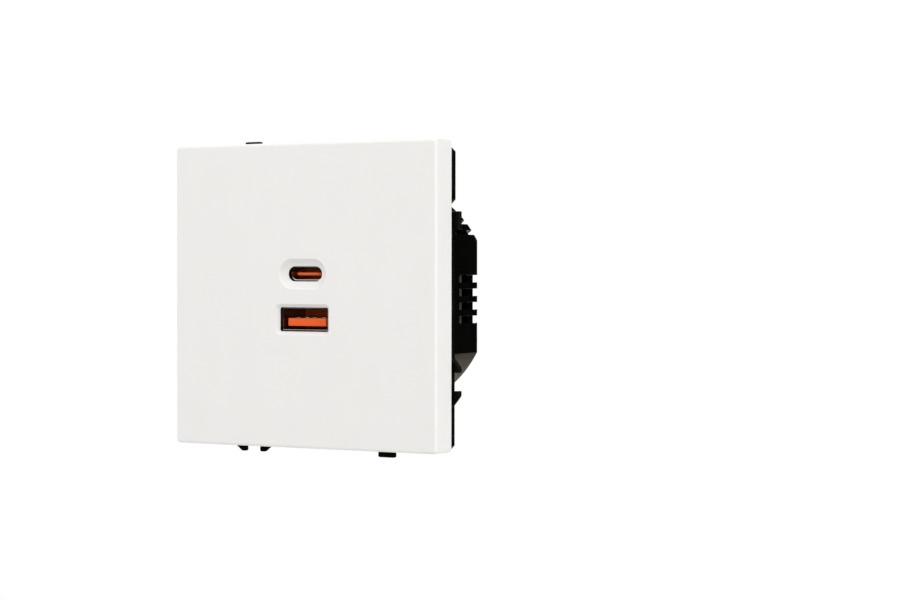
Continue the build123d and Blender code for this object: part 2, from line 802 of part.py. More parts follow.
with BuildPart() as pin_strip:
    with BuildSketch(at(main_board_level)):
        with Locations((0, link_pin_level)):
            Rectangle(link_pin_count * link_pin_pitch, pin_strip_thick)
            with GridLocations(link_pin_pitch, 0, link_pin_count, 1):
                Rectangle(link_pin_size, link_pin_size, mode=Mode.SUBTRACT)
    extrude(amount=pin_strip_height)

# Terminals: bar on the board, clamp plate below it, screw through both
terminals = {}
for wire, place in terminal_places.items():
    with BuildPart() as terminal_bar:
        with BuildSketch(at(main_board_level)):
            with Locations((place, bar_bottom)):
                Rectangle(bar_width, bar_thick, align=(Align.CENTER, Align.MIN))
        extrude(amount=bar_length)
        with BuildSketch(at(main_board_level)):
            with Locations((place, bar_bottom)):
                Rectangle(bar_width, bar_upright, align=(Align.CENTER, Align.MIN))
        extrude(amount=bar_upright_thick)
        with BuildSketch(at(main_board_rear + tail_reach)):
            with Locations((place, tail_level)):
                Rectangle(tail_width, tail_thick)
        extrude(amount=main_board_thick + tail_reach)
        with BuildSketch(Plane.XY.offset(bar_bottom)):
            with Locations((place, terminal_level)):
                Circle(screw_shank_diameter / 2 + screw_running_clearance)
        extrude(amount=bar_thick, mode=Mode.SUBTRACT)
    with BuildPart() as clamp_plate:
        with BuildSketch(Plane.XY.offset(screw_head_seat)):
            with Locations((place, terminal_level)):
                Rectangle(clamp_width, clamp_length)
                Circle(screw_shank_diameter / 2 + screw_running_clearance, mode=Mode.SUBTRACT)
        extrude(amount=clamp_thick)
        chamfer(clamp_plate.faces().sort_by(Axis.Z)[-1].outer_wire().edges().filter_by(Axis.X), clamp_edge_cut)
    with BuildPart() as terminal_screw:
        with BuildSketch(Plane.XY.offset(screw_head_seat)):
            with Locations((place, terminal_level)):
                Circle(screw_head_diameter / 2)
        extrude(amount=-screw_head_height)
        chamfer(terminal_screw.faces().sort_by(Axis.Z)[0].edges(), screw_head_edge)
        with BuildSketch(Plane.XY.offset(screw_head_seat - screw_head_height)):
            with Locations((place, terminal_level)):
                Rectangle(screw_driver_slot, 2 * screw_head_diameter)
        extrude(amount=screw_driver_depth, mode=Mode.SUBTRACT)
        with BuildSketch(Plane.XY.offset(screw_head_seat)):
            with Locations((place, terminal_level)):
                Circle(screw_shank_diameter / 2)
        extrude(amount=screw_length)
    terminals[f"terminal_bar_{wire}"] = terminal_bar
    terminals[f"clamp_plate_{wire}"] = clamp_plate
    terminals[f"terminal_screw_{wire}"] = terminal_screw

# Transformer: closed core, bobbin around its middle leg, winding on the bobbin
with BuildPart() as transformer_core:
    with BuildSketch(at(transformer_level + core_thick / 2)):
        with Locations((0, transformer_height)):
            Rectangle(core_length, core_width)
            with GridLocations(0, core_window_height + core_middle_leg, 1, 2):
                Rectangle(core_length - 2 * core_yoke, core_window_height, mode=Mode.SUBTRACT)
    extrude(amount=core_thick)

with BuildPart() as transformer_bobbin:
    with BuildSketch(Plane.YZ):
        with Locations((transformer_level, transformer_height)):
            Rectangle(bobbin_tube_depth, bobbin_tube_height)
    extrude(amount=bobbin_length / 2, both=True)
    for sign in (-1, 1):
        with BuildSketch(Plane.YZ.offset(sign * bobbin_length / 2)):
            with Locations((transformer_level, transformer_height)):
                Rectangle(bobbin_flange_depth, bobbin_flange_width)
        extrude(amount=-sign * bobbin_flange)
        with BuildSketch(Plane.YZ.offset(sign * (bobbin_length / 2 - bobbin_flange))):
            with Locations((main_board_level, transformer_height)):
                Rectangle(rail_depth, bobbin_flange_width, align=(Align.MAX, Align.CENTER))
        extrude(amount=sign * rail_length)
    with BuildSketch(Plane.YZ):
        with Locations((transformer_level, transformer_height)):
            Rectangle(bobbin_hole_depth, bobbin_hole_height)
    extrude(amount=bobbin_length, both=True, mode=Mode.SUBTRACT)

with BuildPart() as transformer_winding:
    with BuildSketch(Plane.YZ) as winding_outline:
        with Locations((transformer_level, transformer_height)):
            Rectangle(bobbin_flange_depth - 2 * winding_margin, bobbin_flange_width - 2 * winding_margin)
            chamfer(winding_outline.vertices(), winding_corner_cut)
            Rectangle(bobbin_tube_depth, bobbin_tube_height, mode=Mode.SUBTRACT)
    extrude(amount=bobbin_length / 2 - bobbin_flange, both=True)

# Capacitor cans
cans = {}
for can_name, can_x, can_z, can_diameter, can_height in can_places:
    with BuildPart() as can:
        with BuildSketch(at(main_board_level)):
            with Locations((can_x, can_z)):
                Circle(can_diameter / 2)
        extrude(amount=can_height)
    cans[can_name] = can

with BuildPart() as line_capacitor:
    with BuildSketch(at(main_board_level)):
        with Locations((line_capacitor_x, line_capacitor_z)):
            Rectangle(line_capacitor_width, line_capacitor_thick)
    extrude(amount=line_capacitor_height)
    chamfer(line_capacitor.faces().sort_by(Axis.Y)[0].edges(), line_capacitor_edge)

with BuildPart() as disc_capacitor:
    with BuildSketch(Plane.XY.offset(disc_capacitor_z - disc_capacitor_thick / 2)):
        with Locations((0, main_board_level - disc_capacitor_stand - disc_capacitor_diameter / 2)):
            Circle(disc_capacitor_diameter / 2)
    extrude(amount=disc_capacitor_thick)
    with BuildSketch(at(main_board_level)):
        with Locations((0, disc_capacitor_z)):
            with GridLocations(disc_capacitor_lead_pitch, 0, 2, 1):
                Rectangle(disc_capacitor_lead, disc_capacitor_lead)
    extrude(amount=disc_capacitor_stand + disc_capacitor_diameter / 2)

# Input fuse and choke
with BuildPart() as input_fuse:
    with BuildSketch(at(main_board_level)) as fuse_outline:
        with Locations((fuse_x, fuse_z)):
            Rectangle(fuse_size, fuse_size)
        chamfer(fuse_outline.vertices(), fuse_corner_cut)
    extrude(amount=fuse_height)

with BuildPart() as choke_core:
    with BuildSketch(at(main_board_level)):
        with Locations((choke_x, choke_z)):
            Circle(choke_neck / 2)
    extrude(amount=choke_height)
    for flange_level in (main_board_level - choke_height + choke_flange, main_board_level):
        with BuildSketch(at(flange_level)) as choke_end:
            with Locations((choke_x, choke_z)):
                Rectangle(choke_size, choke_size)
            chamfer(choke_end.vertices(), choke_flange)
        extrude(amount=choke_flange)

with BuildPart() as choke_coil:
    with BuildSketch(at(main_board_level - choke_flange)):
        with Locations((choke_x, choke_z)):
            Circle(coil_diameter / 2)
            Circle(choke_neck / 2 + coil_clearance, mode=Mode.SUBTRACT)
    extrude(amount=choke_height - 2 * choke_flange)

# Chips with their leads
with BuildPart() as bridge_rectifier:
    with BuildSketch(at(main_board_level)):
        with Locations((0, bridge_z)):
            Rectangle(bridge_width, bridge_depth)
    extrude(amount=bridge_height)
    chamfer(bridge_rectifier.faces().sort_by(Axis.Y)[0].edges(), chip_edge_cut)
    with BuildSketch(at(main_board_level)):
        with Locations((0, bridge_z)):
            with GridLocations(bridge_lead_pitch, bridge_depth + lead_reach, 2, 2):
                Rectangle(bridge_lead_width, lead_reach)
    extrude(amount=lead_thick)

with BuildPart() as power_switch_chip:
    with BuildSketch(at(main_board_rear)):
        with Locations((0, switch_chip_z)):
            Rectangle(switch_chip_size, switch_chip_size)
    extrude(amount=-switch_chip_height)
    chamfer(power_switch_chip.faces().sort_by(Axis.Y)[-1].edges(), chip_edge_cut)
    with BuildSketch(at(main_board_rear)):
        with Locations((0, switch_chip_z)):
            with GridLocations(switch_lead_pitch, switch_chip_size + lead_reach, switch_lead_count, 2):
                Rectangle(switch_lead_width, lead_reach)
    extrude(amount=-lead_thick)

with BuildPart() as port_control_chip:
    with BuildSketch(at(port_board_rear)):
        with Locations((0, port_chip_z)):
            Rectangle(port_chip_size, port_chip_size)
    extrude(amount=-port_chip_height)
    chamfer(port_control_chip.faces().sort_by(Axis.Y)[-1].edges(), chip_edge_cut)

nodes = {
    "front_plate": front_plate,
    "support_frame": support_frame,
    "port_guard": port_guard,
    "rear_housing": rear_housing,
    "usb_c_shell": usb_c_shell,
    "usb_c_tongue": usb_c_tongue,
    "usb_c_contacts": usb_c_contacts,
    "usb_a_shell": usb_a_shell,
    "usb_a_tongue": usb_a_tongue,
    "usb_a_contacts": usb_a_contacts,
    "port_board": port_board,
    "main_board": main_board,
    "port_board_screws": port_board_screws,
    "link_pins": link_pins,
    "pin_strip": pin_strip,
    "transformer_core": transformer_core,
    "transformer_bobbin": transformer_bobbin,
    "transformer_winding": transformer_winding,
    "line_capacitor": line_capacitor,
    "disc_capacitor": disc_capacitor,
    "input_fuse": input_fuse,
    "choke_core": choke_core,
    "choke_coil": choke_coil,
    "bridge_rectifier": bridge_rectifier,
    "power_switch_chip": power_switch_chip,
    "port_control_chip": port_control_chip,
    **terminals,
    **cans,
}
for name, node in nodes.items():
    node.part.label = name
    export_step(node.part, f"parts/{name}.step")
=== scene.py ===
"""Flush wall socket with two charging ports, dressed for a plain studio picture.

X runs to the right as seen from the room, Y into the wall and Z up. Everything is in metres.
"""

import json
import logging
import math
from dataclasses import dataclass, field
from enum import Enum, IntEnum
from typing import Any, Callable, Iterable

import bmesh
import bpy
from bmesh.types import BMesh, BMEdge, BMVert
from mathutils import Matrix, Quaternion, Vector

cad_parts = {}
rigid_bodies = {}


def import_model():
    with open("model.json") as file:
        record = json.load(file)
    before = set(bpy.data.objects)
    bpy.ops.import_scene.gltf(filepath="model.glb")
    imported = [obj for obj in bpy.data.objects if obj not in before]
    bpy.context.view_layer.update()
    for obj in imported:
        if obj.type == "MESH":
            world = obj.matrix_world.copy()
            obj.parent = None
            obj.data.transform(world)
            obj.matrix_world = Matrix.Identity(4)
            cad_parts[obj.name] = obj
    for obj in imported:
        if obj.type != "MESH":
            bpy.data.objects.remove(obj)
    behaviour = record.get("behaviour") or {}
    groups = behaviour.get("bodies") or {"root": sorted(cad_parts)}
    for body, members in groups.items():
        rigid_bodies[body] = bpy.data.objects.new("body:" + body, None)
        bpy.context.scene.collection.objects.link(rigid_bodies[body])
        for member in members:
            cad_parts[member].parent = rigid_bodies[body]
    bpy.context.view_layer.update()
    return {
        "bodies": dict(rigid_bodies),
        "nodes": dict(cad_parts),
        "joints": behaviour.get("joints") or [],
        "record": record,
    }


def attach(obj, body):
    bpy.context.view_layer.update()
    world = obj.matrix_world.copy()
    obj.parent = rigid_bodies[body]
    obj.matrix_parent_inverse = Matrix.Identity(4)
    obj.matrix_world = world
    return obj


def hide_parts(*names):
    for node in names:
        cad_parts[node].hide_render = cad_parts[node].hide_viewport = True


LOG = logging.getLogger("socket")
Colour = tuple[float, float, float]
Place = tuple[float, float, float]
Span = tuple[float, float]
Edges = list[BMEdge]

MM = 0.001
WHITE = (1.0, 1.0, 1.0)
FORWARDS = (0.0, -1.0, 0.0)
BACKWARDS = (0.0, 1.0, 0.0)
UPRIGHT = Matrix.Rotation(math.radians(90.0), 4, "X")

# Steps around a round loop and around one corner of a square loop
LOOP_STEPS = 64
CORNER_STEPS = 8

# Distance between two loops while strips of faces join them
BRIDGE_ROOM = 20.0 * MM

# Gaps under which points are one point, and points lie in a plane
MERGE_GAP = 0.002 * MM
PLANE_GAP = 0.001 * MM

# Angles in degrees: within a flat face, at edges to round, at square edges, at edges shaded sharp
FLAT_ANGLE = 0.5
EDGE_ANGLE = 25.0
SQUARE_ANGLE = 60.0
CREASE_ANGLE = 35.0

# Shares of an edge and of a face's normal that have to lie along an axis
EDGE_ALONG = 0.99
NORMAL_ALONG = 0.999

# Weight of large faces in the shading, and roughness between the layers of a noise pattern
NORMAL_WEIGHT = 80
NOISE_ROUGHNESS = 0.55


class Axis(IntEnum):
    """Axes of the shared frame."""

    X = 0
    Y = 1
    Z = 2


class Slot(Enum):
    """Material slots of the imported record."""

    WHITE_PLASTIC = "white_plastic"
    BLACK_PLASTIC = "black_plastic"
    ORANGE_PLASTIC = "orange_plastic"
    PLATED_STEEL = "plated_steel"
    GOLD_PLATE = "gold_plate"
    BRASS = "brass"
    BOARD = "board"
    FERRITE = "ferrite"
    TAPE = "tape"
    CAN_SLEEVE = "can_sleeve"
    CAN_METAL = "can_metal"
    CAPACITOR_CASE = "capacitor_case"
    BLUE_LACQUER = "blue_lacquer"
    FUSE_CASE = "fuse_case"
    COPPER = "copper"
    CHIP_CASE = "chip_case"


class Variant(Enum):
    """Finishes that some pieces of a slot have instead of its plain one."""

    MATT_BLACK = "matt_black"
    # Brighter copy of the plated steel: painted light that makes the small socket's inside read lighter
    PAINTED_LIGHT_STEEL = "drawn_steel"


class Body(Enum):
    """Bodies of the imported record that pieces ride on."""

    MODULE = "module"
    PLATE = "plate"
    CLAMP_LIVE = "clamp_live"
    SCREW_LIVE = "screw_live"
    CLAMP_NEUTRAL = "clamp_neutral"
    SCREW_NEUTRAL = "screw_neutral"


class NodeSheet:
    """Node tree of one material, with short ways to add and join nodes."""

    def __init__(self, name: str) -> None:
        """Starts an empty tree with an output and a principled shader.

        Args:
            name: Name of the material.
        """
        self.material = bpy.data.materials.new(name)
        self.material.use_nodes = True
        self.tree = self.material.node_tree
        self.tree.nodes.clear()
        self.output = self.add("ShaderNodeOutputMaterial")
        self.shader = self.add("ShaderNodeBsdfPrincipled")
        self.join(self.shader, "BSDF", self.output, "Surface")
        self.place = self.add("ShaderNodeTexCoord")

    def add(self, kind: str, **settings: Any) -> bpy.types.Node:
        """Adds a node.

        Args:
            kind: Type name of the node.
            settings: Properties of the node to set.

        Returns:
            The new node.
        """
        node = self.tree.nodes.new(kind)
        for key, value in settings.items():
            setattr(node, key, value)
        return node

    def join(self, source: bpy.types.Node, out: str | int, target: bpy.types.Node, into: str | int) -> None:
        """Links an output of one node to an input of another, each by its name or number."""
        self.tree.links.new(source.outputs[out], target.inputs[into])

    def preset(self, socket: str, value: float | Place) -> None:
        """Sets a value of the shader that is the same all over the surface."""
        self.shader.inputs[socket].default_value = value

    def mapped(self, stretch: Place = (1.0, 1.0, 1.0)) -> bpy.types.Node:
        """Adds a mapping of the object's own coordinates.

        Args:
            stretch: Scale along each axis.

        Returns:
            The mapping node.
        """
        node = self.add("ShaderNodeMapping")
        node.inputs["Scale"].default_value = stretch
        self.join(self.place, "Object", node, "Vector")
        return node

    def noise(self, size: float, detail: float, stretch: Place = (1.0, 1.0, 1.0)) -> bpy.types.Node:
        """Adds a noise pattern of a given grain size.

        Args:
            size: Length of one grain in metres.
            detail: Number of finer layers.
            stretch: Scale along each axis before the pattern.

        Returns:
            The noise node.
        """
        node = self.add("ShaderNodeTexNoise")
        node.inputs["Scale"].default_value = 1.0 / size
        node.inputs["Detail"].default_value = detail
        node.inputs["Roughness"].default_value = NOISE_ROUGHNESS
        self.join(self.mapped(stretch), "Vector", node, "Vector")
        return node

    def shades(self, pattern: bpy.types.Node, colour: Colour, *steps: Span) -> bpy.types.Node:
        """Adds lighter and darker shades of one colour that follow a pattern.

        Args:
            pattern: Node of the pattern.
            colour: Linear colour.
            steps: Values of the pattern, each with its factor for the colour.

        Returns:
            The ramp node.
        """
        node = self.add("ShaderNodeValToRGB")
        elements = node.color_ramp.elements
        while len(elements) < len(steps):
            elements.new(0.5)
        for element, (position, share) in zip(elements, steps):
            element.position = position
            element.color = (*(min(channel * share, 1.0) for channel in colour), 1.0)
        self.join(pattern, "Fac", node, "Fac")
        return node

    def paint(self, pattern: bpy.types.Node, colour: Colour, *steps: Span) -> None:
        """Gives the shader shades of one colour, with steps as for shades."""
        self.join(self.shades(pattern, colour, *steps), "Color", self.shader, "Base Color")

    def span(self, source: bpy.types.Node, out: str, low: float, high: float) -> bpy.types.Node:
        """Maps a value from 0 to 1 into a span.

        Args:
            source: Node that gives the value.
            out: Name of its output.
            low: Result at 0.
            high: Result at 1.

        Returns:
            The map range node.
        """
        node = self.add("ShaderNodeMapRange")
        node.inputs["To Min"].default_value = low
        node.inputs["To Max"].default_value = high
        self.join(source, out, node, "Value")
        return node

    def dull(self, pattern: bpy.types.Node, roughness: Span) -> None:
        """Lets the shader's roughness follow a pattern within a span."""
        self.join(self.span(pattern, "Fac", *roughness), "Result", self.shader, "Roughness")

    def bump(self, pattern: bpy.types.Node, depth: float, strength: float) -> None:
        """Adds relief to the shader.

        Args:
            pattern: Node that gives the height.
            depth: Height of the relief in metres.
            strength: Weight of the relief.
        """
        node = self.add("ShaderNodeBump")
        node.inputs["Distance"].default_value = depth
        node.inputs["Strength"].default_value = strength
        self.join(pattern, "Fac", node, "Height")
        self.join(node, "Normal", self.shader, "Normal")


@dataclass(frozen=True)
class Finish:
    """Finish of one slot or variant, made as a node material."""

    slot: Slot | Variant

    def build(self) -> bpy.types.Material:
        """Makes the material.

        Returns:
            The finished material.
        """
        sheet = NodeSheet(self.slot.value + "_finish")
        self.lay(sheet)
        return sheet.material

    def lay(self, sheet: NodeSheet) -> None:
        """Lays the finish on a sheet, which each kind of finish does in its own way."""
        raise NotImplementedError


@dataclass(frozen=True)
class MouldedPlastic(Finish):
    """Injection-moulded plastic with spark-eroded grain and faint flow marks."""

    colour: Colour
    drift: float = 0.04
    roughness: Span = (0.36, 0.46)
    grain: float = 0.12 * MM
    relief: float = 0.004 * MM
    strength: float = 0.35
    gloss: float = 0.5
    soft: float = 0.0
    reach: Place = (0.4 * MM, 0.36 * MM, 0.32 * MM)
    flow: float = 9.0 * MM
    flow_stretch: Place = (1.0, 1.0, 0.6)
    patch: float = 1.6 * MM

    def lay(self, sheet: NodeSheet) -> None:
        """Lays flow marks, uneven gloss, grain and, for softer plastic, some depth.

        Args:
            sheet: Node tree of the material.
        """
        flow = sheet.noise(self.flow, detail=2.0, stretch=self.flow_stretch)
        sheet.paint(flow, self.colour, (0.3, 1.0 - self.drift), (0.7, 1.0 + self.drift))
        sheet.dull(sheet.noise(self.patch, detail=3.0), self.roughness)
        sheet.bump(sheet.noise(self.grain, detail=2.0), self.relief, self.strength)
        sheet.preset("Specular IOR Level", self.gloss)
        if self.soft > 0.0:
            sheet.preset("Subsurface Weight", self.soft)
            sheet.preset("Subsurface Radius", self.reach)
            sheet.preset("Subsurface Scale", 1.0)


@dataclass(frozen=True)
class WorkedMetal(Finish):
    """Metal with dull patches and fine lines, by default those of drawn and plated sheet."""

    colour: Colour
    roughness: Span = (0.18, 0.32)
    patch: float = 0.9 * MM
    patch_shades: tuple[Span, ...] = ((0.25, 0.86), (0.75, 1.06))
    line: float = 0.05 * MM
    line_detail: float = 2.0
    line_stretch: Place = (1.0, 0.08, 1.0)
    relief: float = 0.0015 * MM
    strength: float = 0.5

    def lay(self, sheet: NodeSheet) -> None:
        """Lays dull patches and lines.

        Args:
            sheet: Node tree of the material.
        """
        patch = sheet.noise(self.patch, detail=4.0)
        sheet.paint(patch, self.colour, *self.patch_shades)
        sheet.dull(patch, self.roughness)
        lines = sheet.noise(self.line, self.line_detail, self.line_stretch)
        sheet.bump(lines, self.relief, self.strength)
        sheet.preset("Metallic", 1.0)


@dataclass(frozen=True)
class GlassLaminate(Finish):
    """Circuit board: green mask on both faces and bare glass-cloth laminate on the cut edges, whose cream is
    painted dark grey as painted shade.
    """

    slot: Slot | Variant = Slot.BOARD
    mask: Colour = (0.02, 0.11, 0.05)
    # Colour of the cut edges, painted far darker than their cream: painted shade for edges deep inside the
    # housing
    fibre_and_painted_shade: Colour = (0.085, 0.08, 0.068)
    roughness: Span = (0.35, 0.5)
    weave: float = 0.35 * MM
    weave_stretch: Place = (1.0, 4.0, 1.0)
    relief: float = 0.01 * MM
    strength: float = 0.3
    face_normal: float = 0.5

    def lay(self, sheet: NodeSheet) -> None:
        """Lays the mask where the surface looks along Y, the darkened edge colour elsewhere and the weave on
        both.

        Args:
            sheet: Node tree of the material.
        """
        weave = sheet.noise(self.weave, detail=1.0, stretch=self.weave_stretch)
        face = sheet.shades(weave, self.mask, (0.3, 0.75), (0.7, 1.25))
        # Edge colour, darkened as painted shade
        edge = sheet.shades(weave, self.fibre_and_painted_shade, (0.3, 0.8), (0.7, 1.1))
        split = sheet.add("ShaderNodeSeparateXYZ")
        sheet.join(sheet.place, "Normal", split, "Vector")
        size = sheet.add("ShaderNodeMath", operation="ABSOLUTE")
        sheet.join(split, "Y", size, 0)
        flat = sheet.add("ShaderNodeMath", operation="GREATER_THAN")
        flat.inputs[1].default_value = self.face_normal
        sheet.join(size, "Value", flat, 0)
        # A mix node has sockets for every type of data: its colours are inputs 6 and 7 and output 2
        mix = sheet.add("ShaderNodeMix", data_type="RGBA")
        sheet.join(flat, "Value", mix, 0)
        sheet.join(edge, "Color", mix, 6)
        sheet.join(face, "Color", mix, 7)
        sheet.join(mix, 2, sheet.shader, "Base Color")
        sheet.dull(weave, self.roughness)
        sheet.bump(weave, self.relief, self.strength)


@dataclass(frozen=True)
class SinteredFerrite(Finish):
    """Pressed and fired ferrite: dark, slightly rough and speckled."""

    slot: Slot | Variant = Slot.FERRITE
    colour: Colour = (0.03, 0.03, 0.033)
    roughness: Span = (0.45, 0.75)
    speck: float = 0.25 * MM
    relief: float = 0.02 * MM
    strength: float = 0.4

    def lay(self, sheet: NodeSheet) -> None:
        """Lays the specks.

        Args:
            sheet: Node tree of the material.
        """
        speck = sheet.noise(self.speck, detail=5.0)
        sheet.paint(speck, self.colour, (0.35, 0.6), (0.75, 2.2))
        sheet.dull(speck, self.roughness)
        sheet.bump(speck, self.relief, self.strength)


@dataclass(frozen=True)
class WoundLayer(Finish):
    """Turns of tape or wire that run around one axis."""

    colour: Colour
    pitch: float
    axis: Axis
    metallic: float
    relief: float
    roughness: Span = (0.2, 0.35)
    patch: float = 1.2 * MM
    wobble: float = 0.6
    strength: float = 0.6

    def lay(self, sheet: NodeSheet) -> None:
        """Lays the turns, each painted darker where it meets the next as painted shade, and dull patches.

        Args:
            sheet: Node tree of the material.
        """
        turns = sheet.add("ShaderNodeTexWave", wave_type="BANDS", bands_direction=self.axis.name)
        # At a scale of 1 a wave is a tenth of pi long
        turns.inputs["Scale"].default_value = math.pi / 10.0 / self.pitch
        turns.inputs["Distortion"].default_value = self.wobble
        turns.inputs["Detail"].default_value = 1.0
        sheet.join(sheet.mapped(), "Vector", turns, "Vector")
        # Darker part of each band, where turns meet: painted shade in the grooves between them
        sheet.paint(turns, self.colour, (0.0, 0.6), (0.6, 1.0))
        sheet.dull(sheet.noise(self.patch, detail=3.0), self.roughness)
        sheet.bump(turns, self.relief, self.strength)
        sheet.preset("Metallic", self.metallic)


class FinishBook:
    """All finishes of the socket, each made once."""

    def __init__(self) -> None:
        """Makes every finish and keeps its material by its slot or variant."""
        finishes = (
            MouldedPlastic(
                Slot.WHITE_PLASTIC, (0.83, 0.822, 0.806), drift=0.006, roughness=(0.42, 0.52),
                grain=0.16 * MM, relief=0.003 * MM, strength=0.3, gloss=0.3, soft=0.08,
            ),
            MouldedPlastic(
                Slot.BLACK_PLASTIC, (0.0022, 0.0022, 0.002), drift=0.25, roughness=(0.14, 0.2),
                grain=0.14 * MM, relief=0.005 * MM, strength=0.4, gloss=0.19,
            ),
            MouldedPlastic(
                Variant.MATT_BLACK, (0.0022, 0.0022, 0.002), drift=0.25, roughness=(0.4, 0.55),
                grain=0.2 * MM, relief=0.008 * MM, gloss=0.08,
            ),
            MouldedPlastic(
                Slot.ORANGE_PLASTIC, (0.99, 0.14, 0.016), drift=0.05, roughness=(0.28, 0.4),
                grain=0.08 * MM, soft=0.35, reach=(0.9 * MM, 0.25 * MM, 0.08 * MM),
            ),
            MouldedPlastic(Slot.CAPACITOR_CASE, (0.62, 0.5, 0.09), drift=0.08),
            MouldedPlastic(Slot.FUSE_CASE, (0.06, 0.03, 0.02), drift=0.2),
            MouldedPlastic(Slot.CHIP_CASE, (0.012, 0.012, 0.013), drift=0.3, roughness=(0.45, 0.6)),
            MouldedPlastic(
                Slot.CAN_SLEEVE, (0.02, 0.022, 0.03), drift=0.2, roughness=(0.15, 0.25), strength=0.1
            ),
            MouldedPlastic(
                Slot.BLUE_LACQUER, (0.03, 0.11, 0.42), drift=0.2, roughness=(0.12, 0.25),
                grain=0.6 * MM, relief=0.03 * MM,
            ),
            # Plated steel darker than real plating: painted shade that makes the large socket's inside read
            # darker; the clamp plates share it
            WorkedMetal(Slot.PLATED_STEEL, (0.4, 0.385, 0.375), roughness=(0.14, 0.26)),
            # Brighter copy of the plated steel for the small socket's shell: painted light for its inside
            WorkedMetal(Variant.PAINTED_LIGHT_STEEL, (0.76, 0.74, 0.72), roughness=(0.06, 0.12)),
            WorkedMetal(Slot.GOLD_PLATE, (0.62, 0.46, 0.24)),
            WorkedMetal(Slot.CAN_METAL, (0.72, 0.72, 0.73), roughness=(0.25, 0.4)),
            # Brass has darker patches and the tool lines of a lathe around the Z axis
            WorkedMetal(
                Slot.BRASS, (0.72, 0.47, 0.17), roughness=(0.3, 0.18),
                patch=1.1 * MM, patch_shades=((0.3, 0.6), (0.55, 1.0), (0.8, 1.15)),
                line=0.07 * MM, line_detail=1.0, line_stretch=(0.1, 0.1, 1.0), relief=0.002 * MM,
            ),
            GlassLaminate(),
            SinteredFerrite(),
            WoundLayer(Slot.TAPE, (0.72, 0.52, 0.06), 2.6 * MM, Axis.X, metallic=0.0, relief=0.05 * MM),
            WoundLayer(Slot.COPPER, (0.6, 0.23, 0.09), 0.45 * MM, Axis.Y, metallic=1.0, relief=0.12 * MM),
        )
        self.materials = {finish.slot: finish.build() for finish in finishes}

    def dress(self, piece: bpy.types.Object, slot: Slot | Variant) -> None:
        """Gives a piece the finish of a slot or variant, in place of what it has."""
        piece.data.materials.clear()
        piece.data.materials.append(self.materials[slot])


def linked(name: str, data: bpy.types.ID) -> bpy.types.Object:
    """Makes an object of some data and links it to the scene.

    Args:
        name: Name of the object.
        data: Mesh, lamp or camera.

    Returns:
        The object.
    """
    made = bpy.data.objects.new(name, data)
    bpy.context.scene.collection.objects.link(made)
    return made


def linked_mesh(name: str, mesh: BMesh) -> bpy.types.Object:
    """Makes an object of a bmesh, frees the bmesh and links the object to the scene.

    Args:
        name: Name of the object and its mesh.
        mesh: Shape of the object.

    Returns:
        The object.
    """
    data = bpy.data.meshes.new(name)
    mesh.to_mesh(data)
    mesh.free()
    return linked(name, data)


class Maker:
    """Turns bmeshes into finished pieces and reports them."""

    def __init__(self, frame: dict[str, Any], finishes: FinishBook) -> None:
        self.frame = frame
        self.finishes = finishes

    def finish(
        self, mesh: BMesh, name: str, slot: Slot, body: Body, node: str, variant: Variant | None = None
    ) -> None:
        """Makes a piece from a bmesh, dresses it and sets it on its body.

        Args:
            mesh: Shape of the piece, freed afterwards.
            name: Name of the piece.
            slot: Material slot of the piece.
            body: Body that it rides on.
            node: CAD node that it replaces.
            variant: Finish in place of the slot's plain one.
        """
        piece = linked_mesh(name, mesh)
        piece.data.shade_smooth()
        piece.data.set_sharp_from_angle(angle=math.radians(CREASE_ANGLE))
        even = piece.modifiers.new("even_normals", "WEIGHTED_NORMAL")
        even.keep_sharp = True
        even.weight = NORMAL_WEIGHT
        self.finishes.dress(piece, variant or slot)
        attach(piece, body.value)
        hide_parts(node)
        LOG.info("%s: %d faces on %s", name, len(piece.data.polygons), body.value)

    def merged_node(self, node: str) -> BMesh:
        """Copies a CAD node with its loose triangles merged into clean faces.

        Args:
            node: Name of the node.

        Returns:
            The merged copy.
        """
        mesh = bmesh.new()
        mesh.from_mesh(self.frame["nodes"][node].data)
        bmesh.ops.remove_doubles(mesh, verts=mesh.verts, dist=MERGE_GAP)
        flat = math.radians(FLAT_ANGLE)
        bmesh.ops.dissolve_limit(mesh, angle_limit=flat, verts=mesh.verts, edges=mesh.edges)
        return mesh

    def softened(
        self,
        node: str,
        slot: Slot,
        body: Body,
        width: float,
        steps: int = 2,
        before: Callable[[BMesh], None] | None = None,
        variant: Variant | None = None,
    ) -> None:
        """Replaces a CAD node by a copy whose edges are rounded as moulded or pressed edges are.

        The bevel operator makes the rounding narrower where a node has very short edges.

        Args:
            node: Name of the node.
            slot: Material slot of the piece.
            body: Body that it rides on.
            width: Largest width of the rounding.
            steps: Steps across the rounding.
            before: Shaping that comes before the rounding.
            variant: Finish in place of the slot's plain one.
        """
        mesh = self.merged_node(node)
        if before:
            before(mesh)
        round_edges(mesh, sharp_edges(mesh, EDGE_ANGLE), width, steps)
        self.finish(mesh, node + "_piece", slot, body, node, variant)


@dataclass
class Assembly:
    """Sub-assembly whose pieces go through one maker."""

    maker: Maker


def runs_along(edge: BMEdge, axis: Axis) -> bool:
    """Tells whether an edge runs along an axis."""
    along = edge.verts[1].co - edge.verts[0].co
    return abs(along[axis]) > EDGE_ALONG * along.length


def in_plane(edge: BMEdge, axis: Axis, level: float) -> bool:
    """Tells whether an edge lies in the plane across an axis at a level."""
    return all(abs(vert.co[axis] - level) < PLANE_GAP for vert in edge.verts)


def edges_of(verts: Iterable[BMVert], keep: Callable[[BMEdge], bool]) -> Edges:
    """Finds the edges at some corners that pass a test."""
    return [edge for edge in {edge for vert in verts for edge in vert.link_edges} if keep(edge)]


def sharp_edges(mesh: BMesh, least: float) -> Edges:
    """Finds the edges whose two faces meet at more than an angle in degrees."""
    limit = math.radians(least)
    return [edge for edge in mesh.edges if edge.calc_face_angle(0.0) > limit]


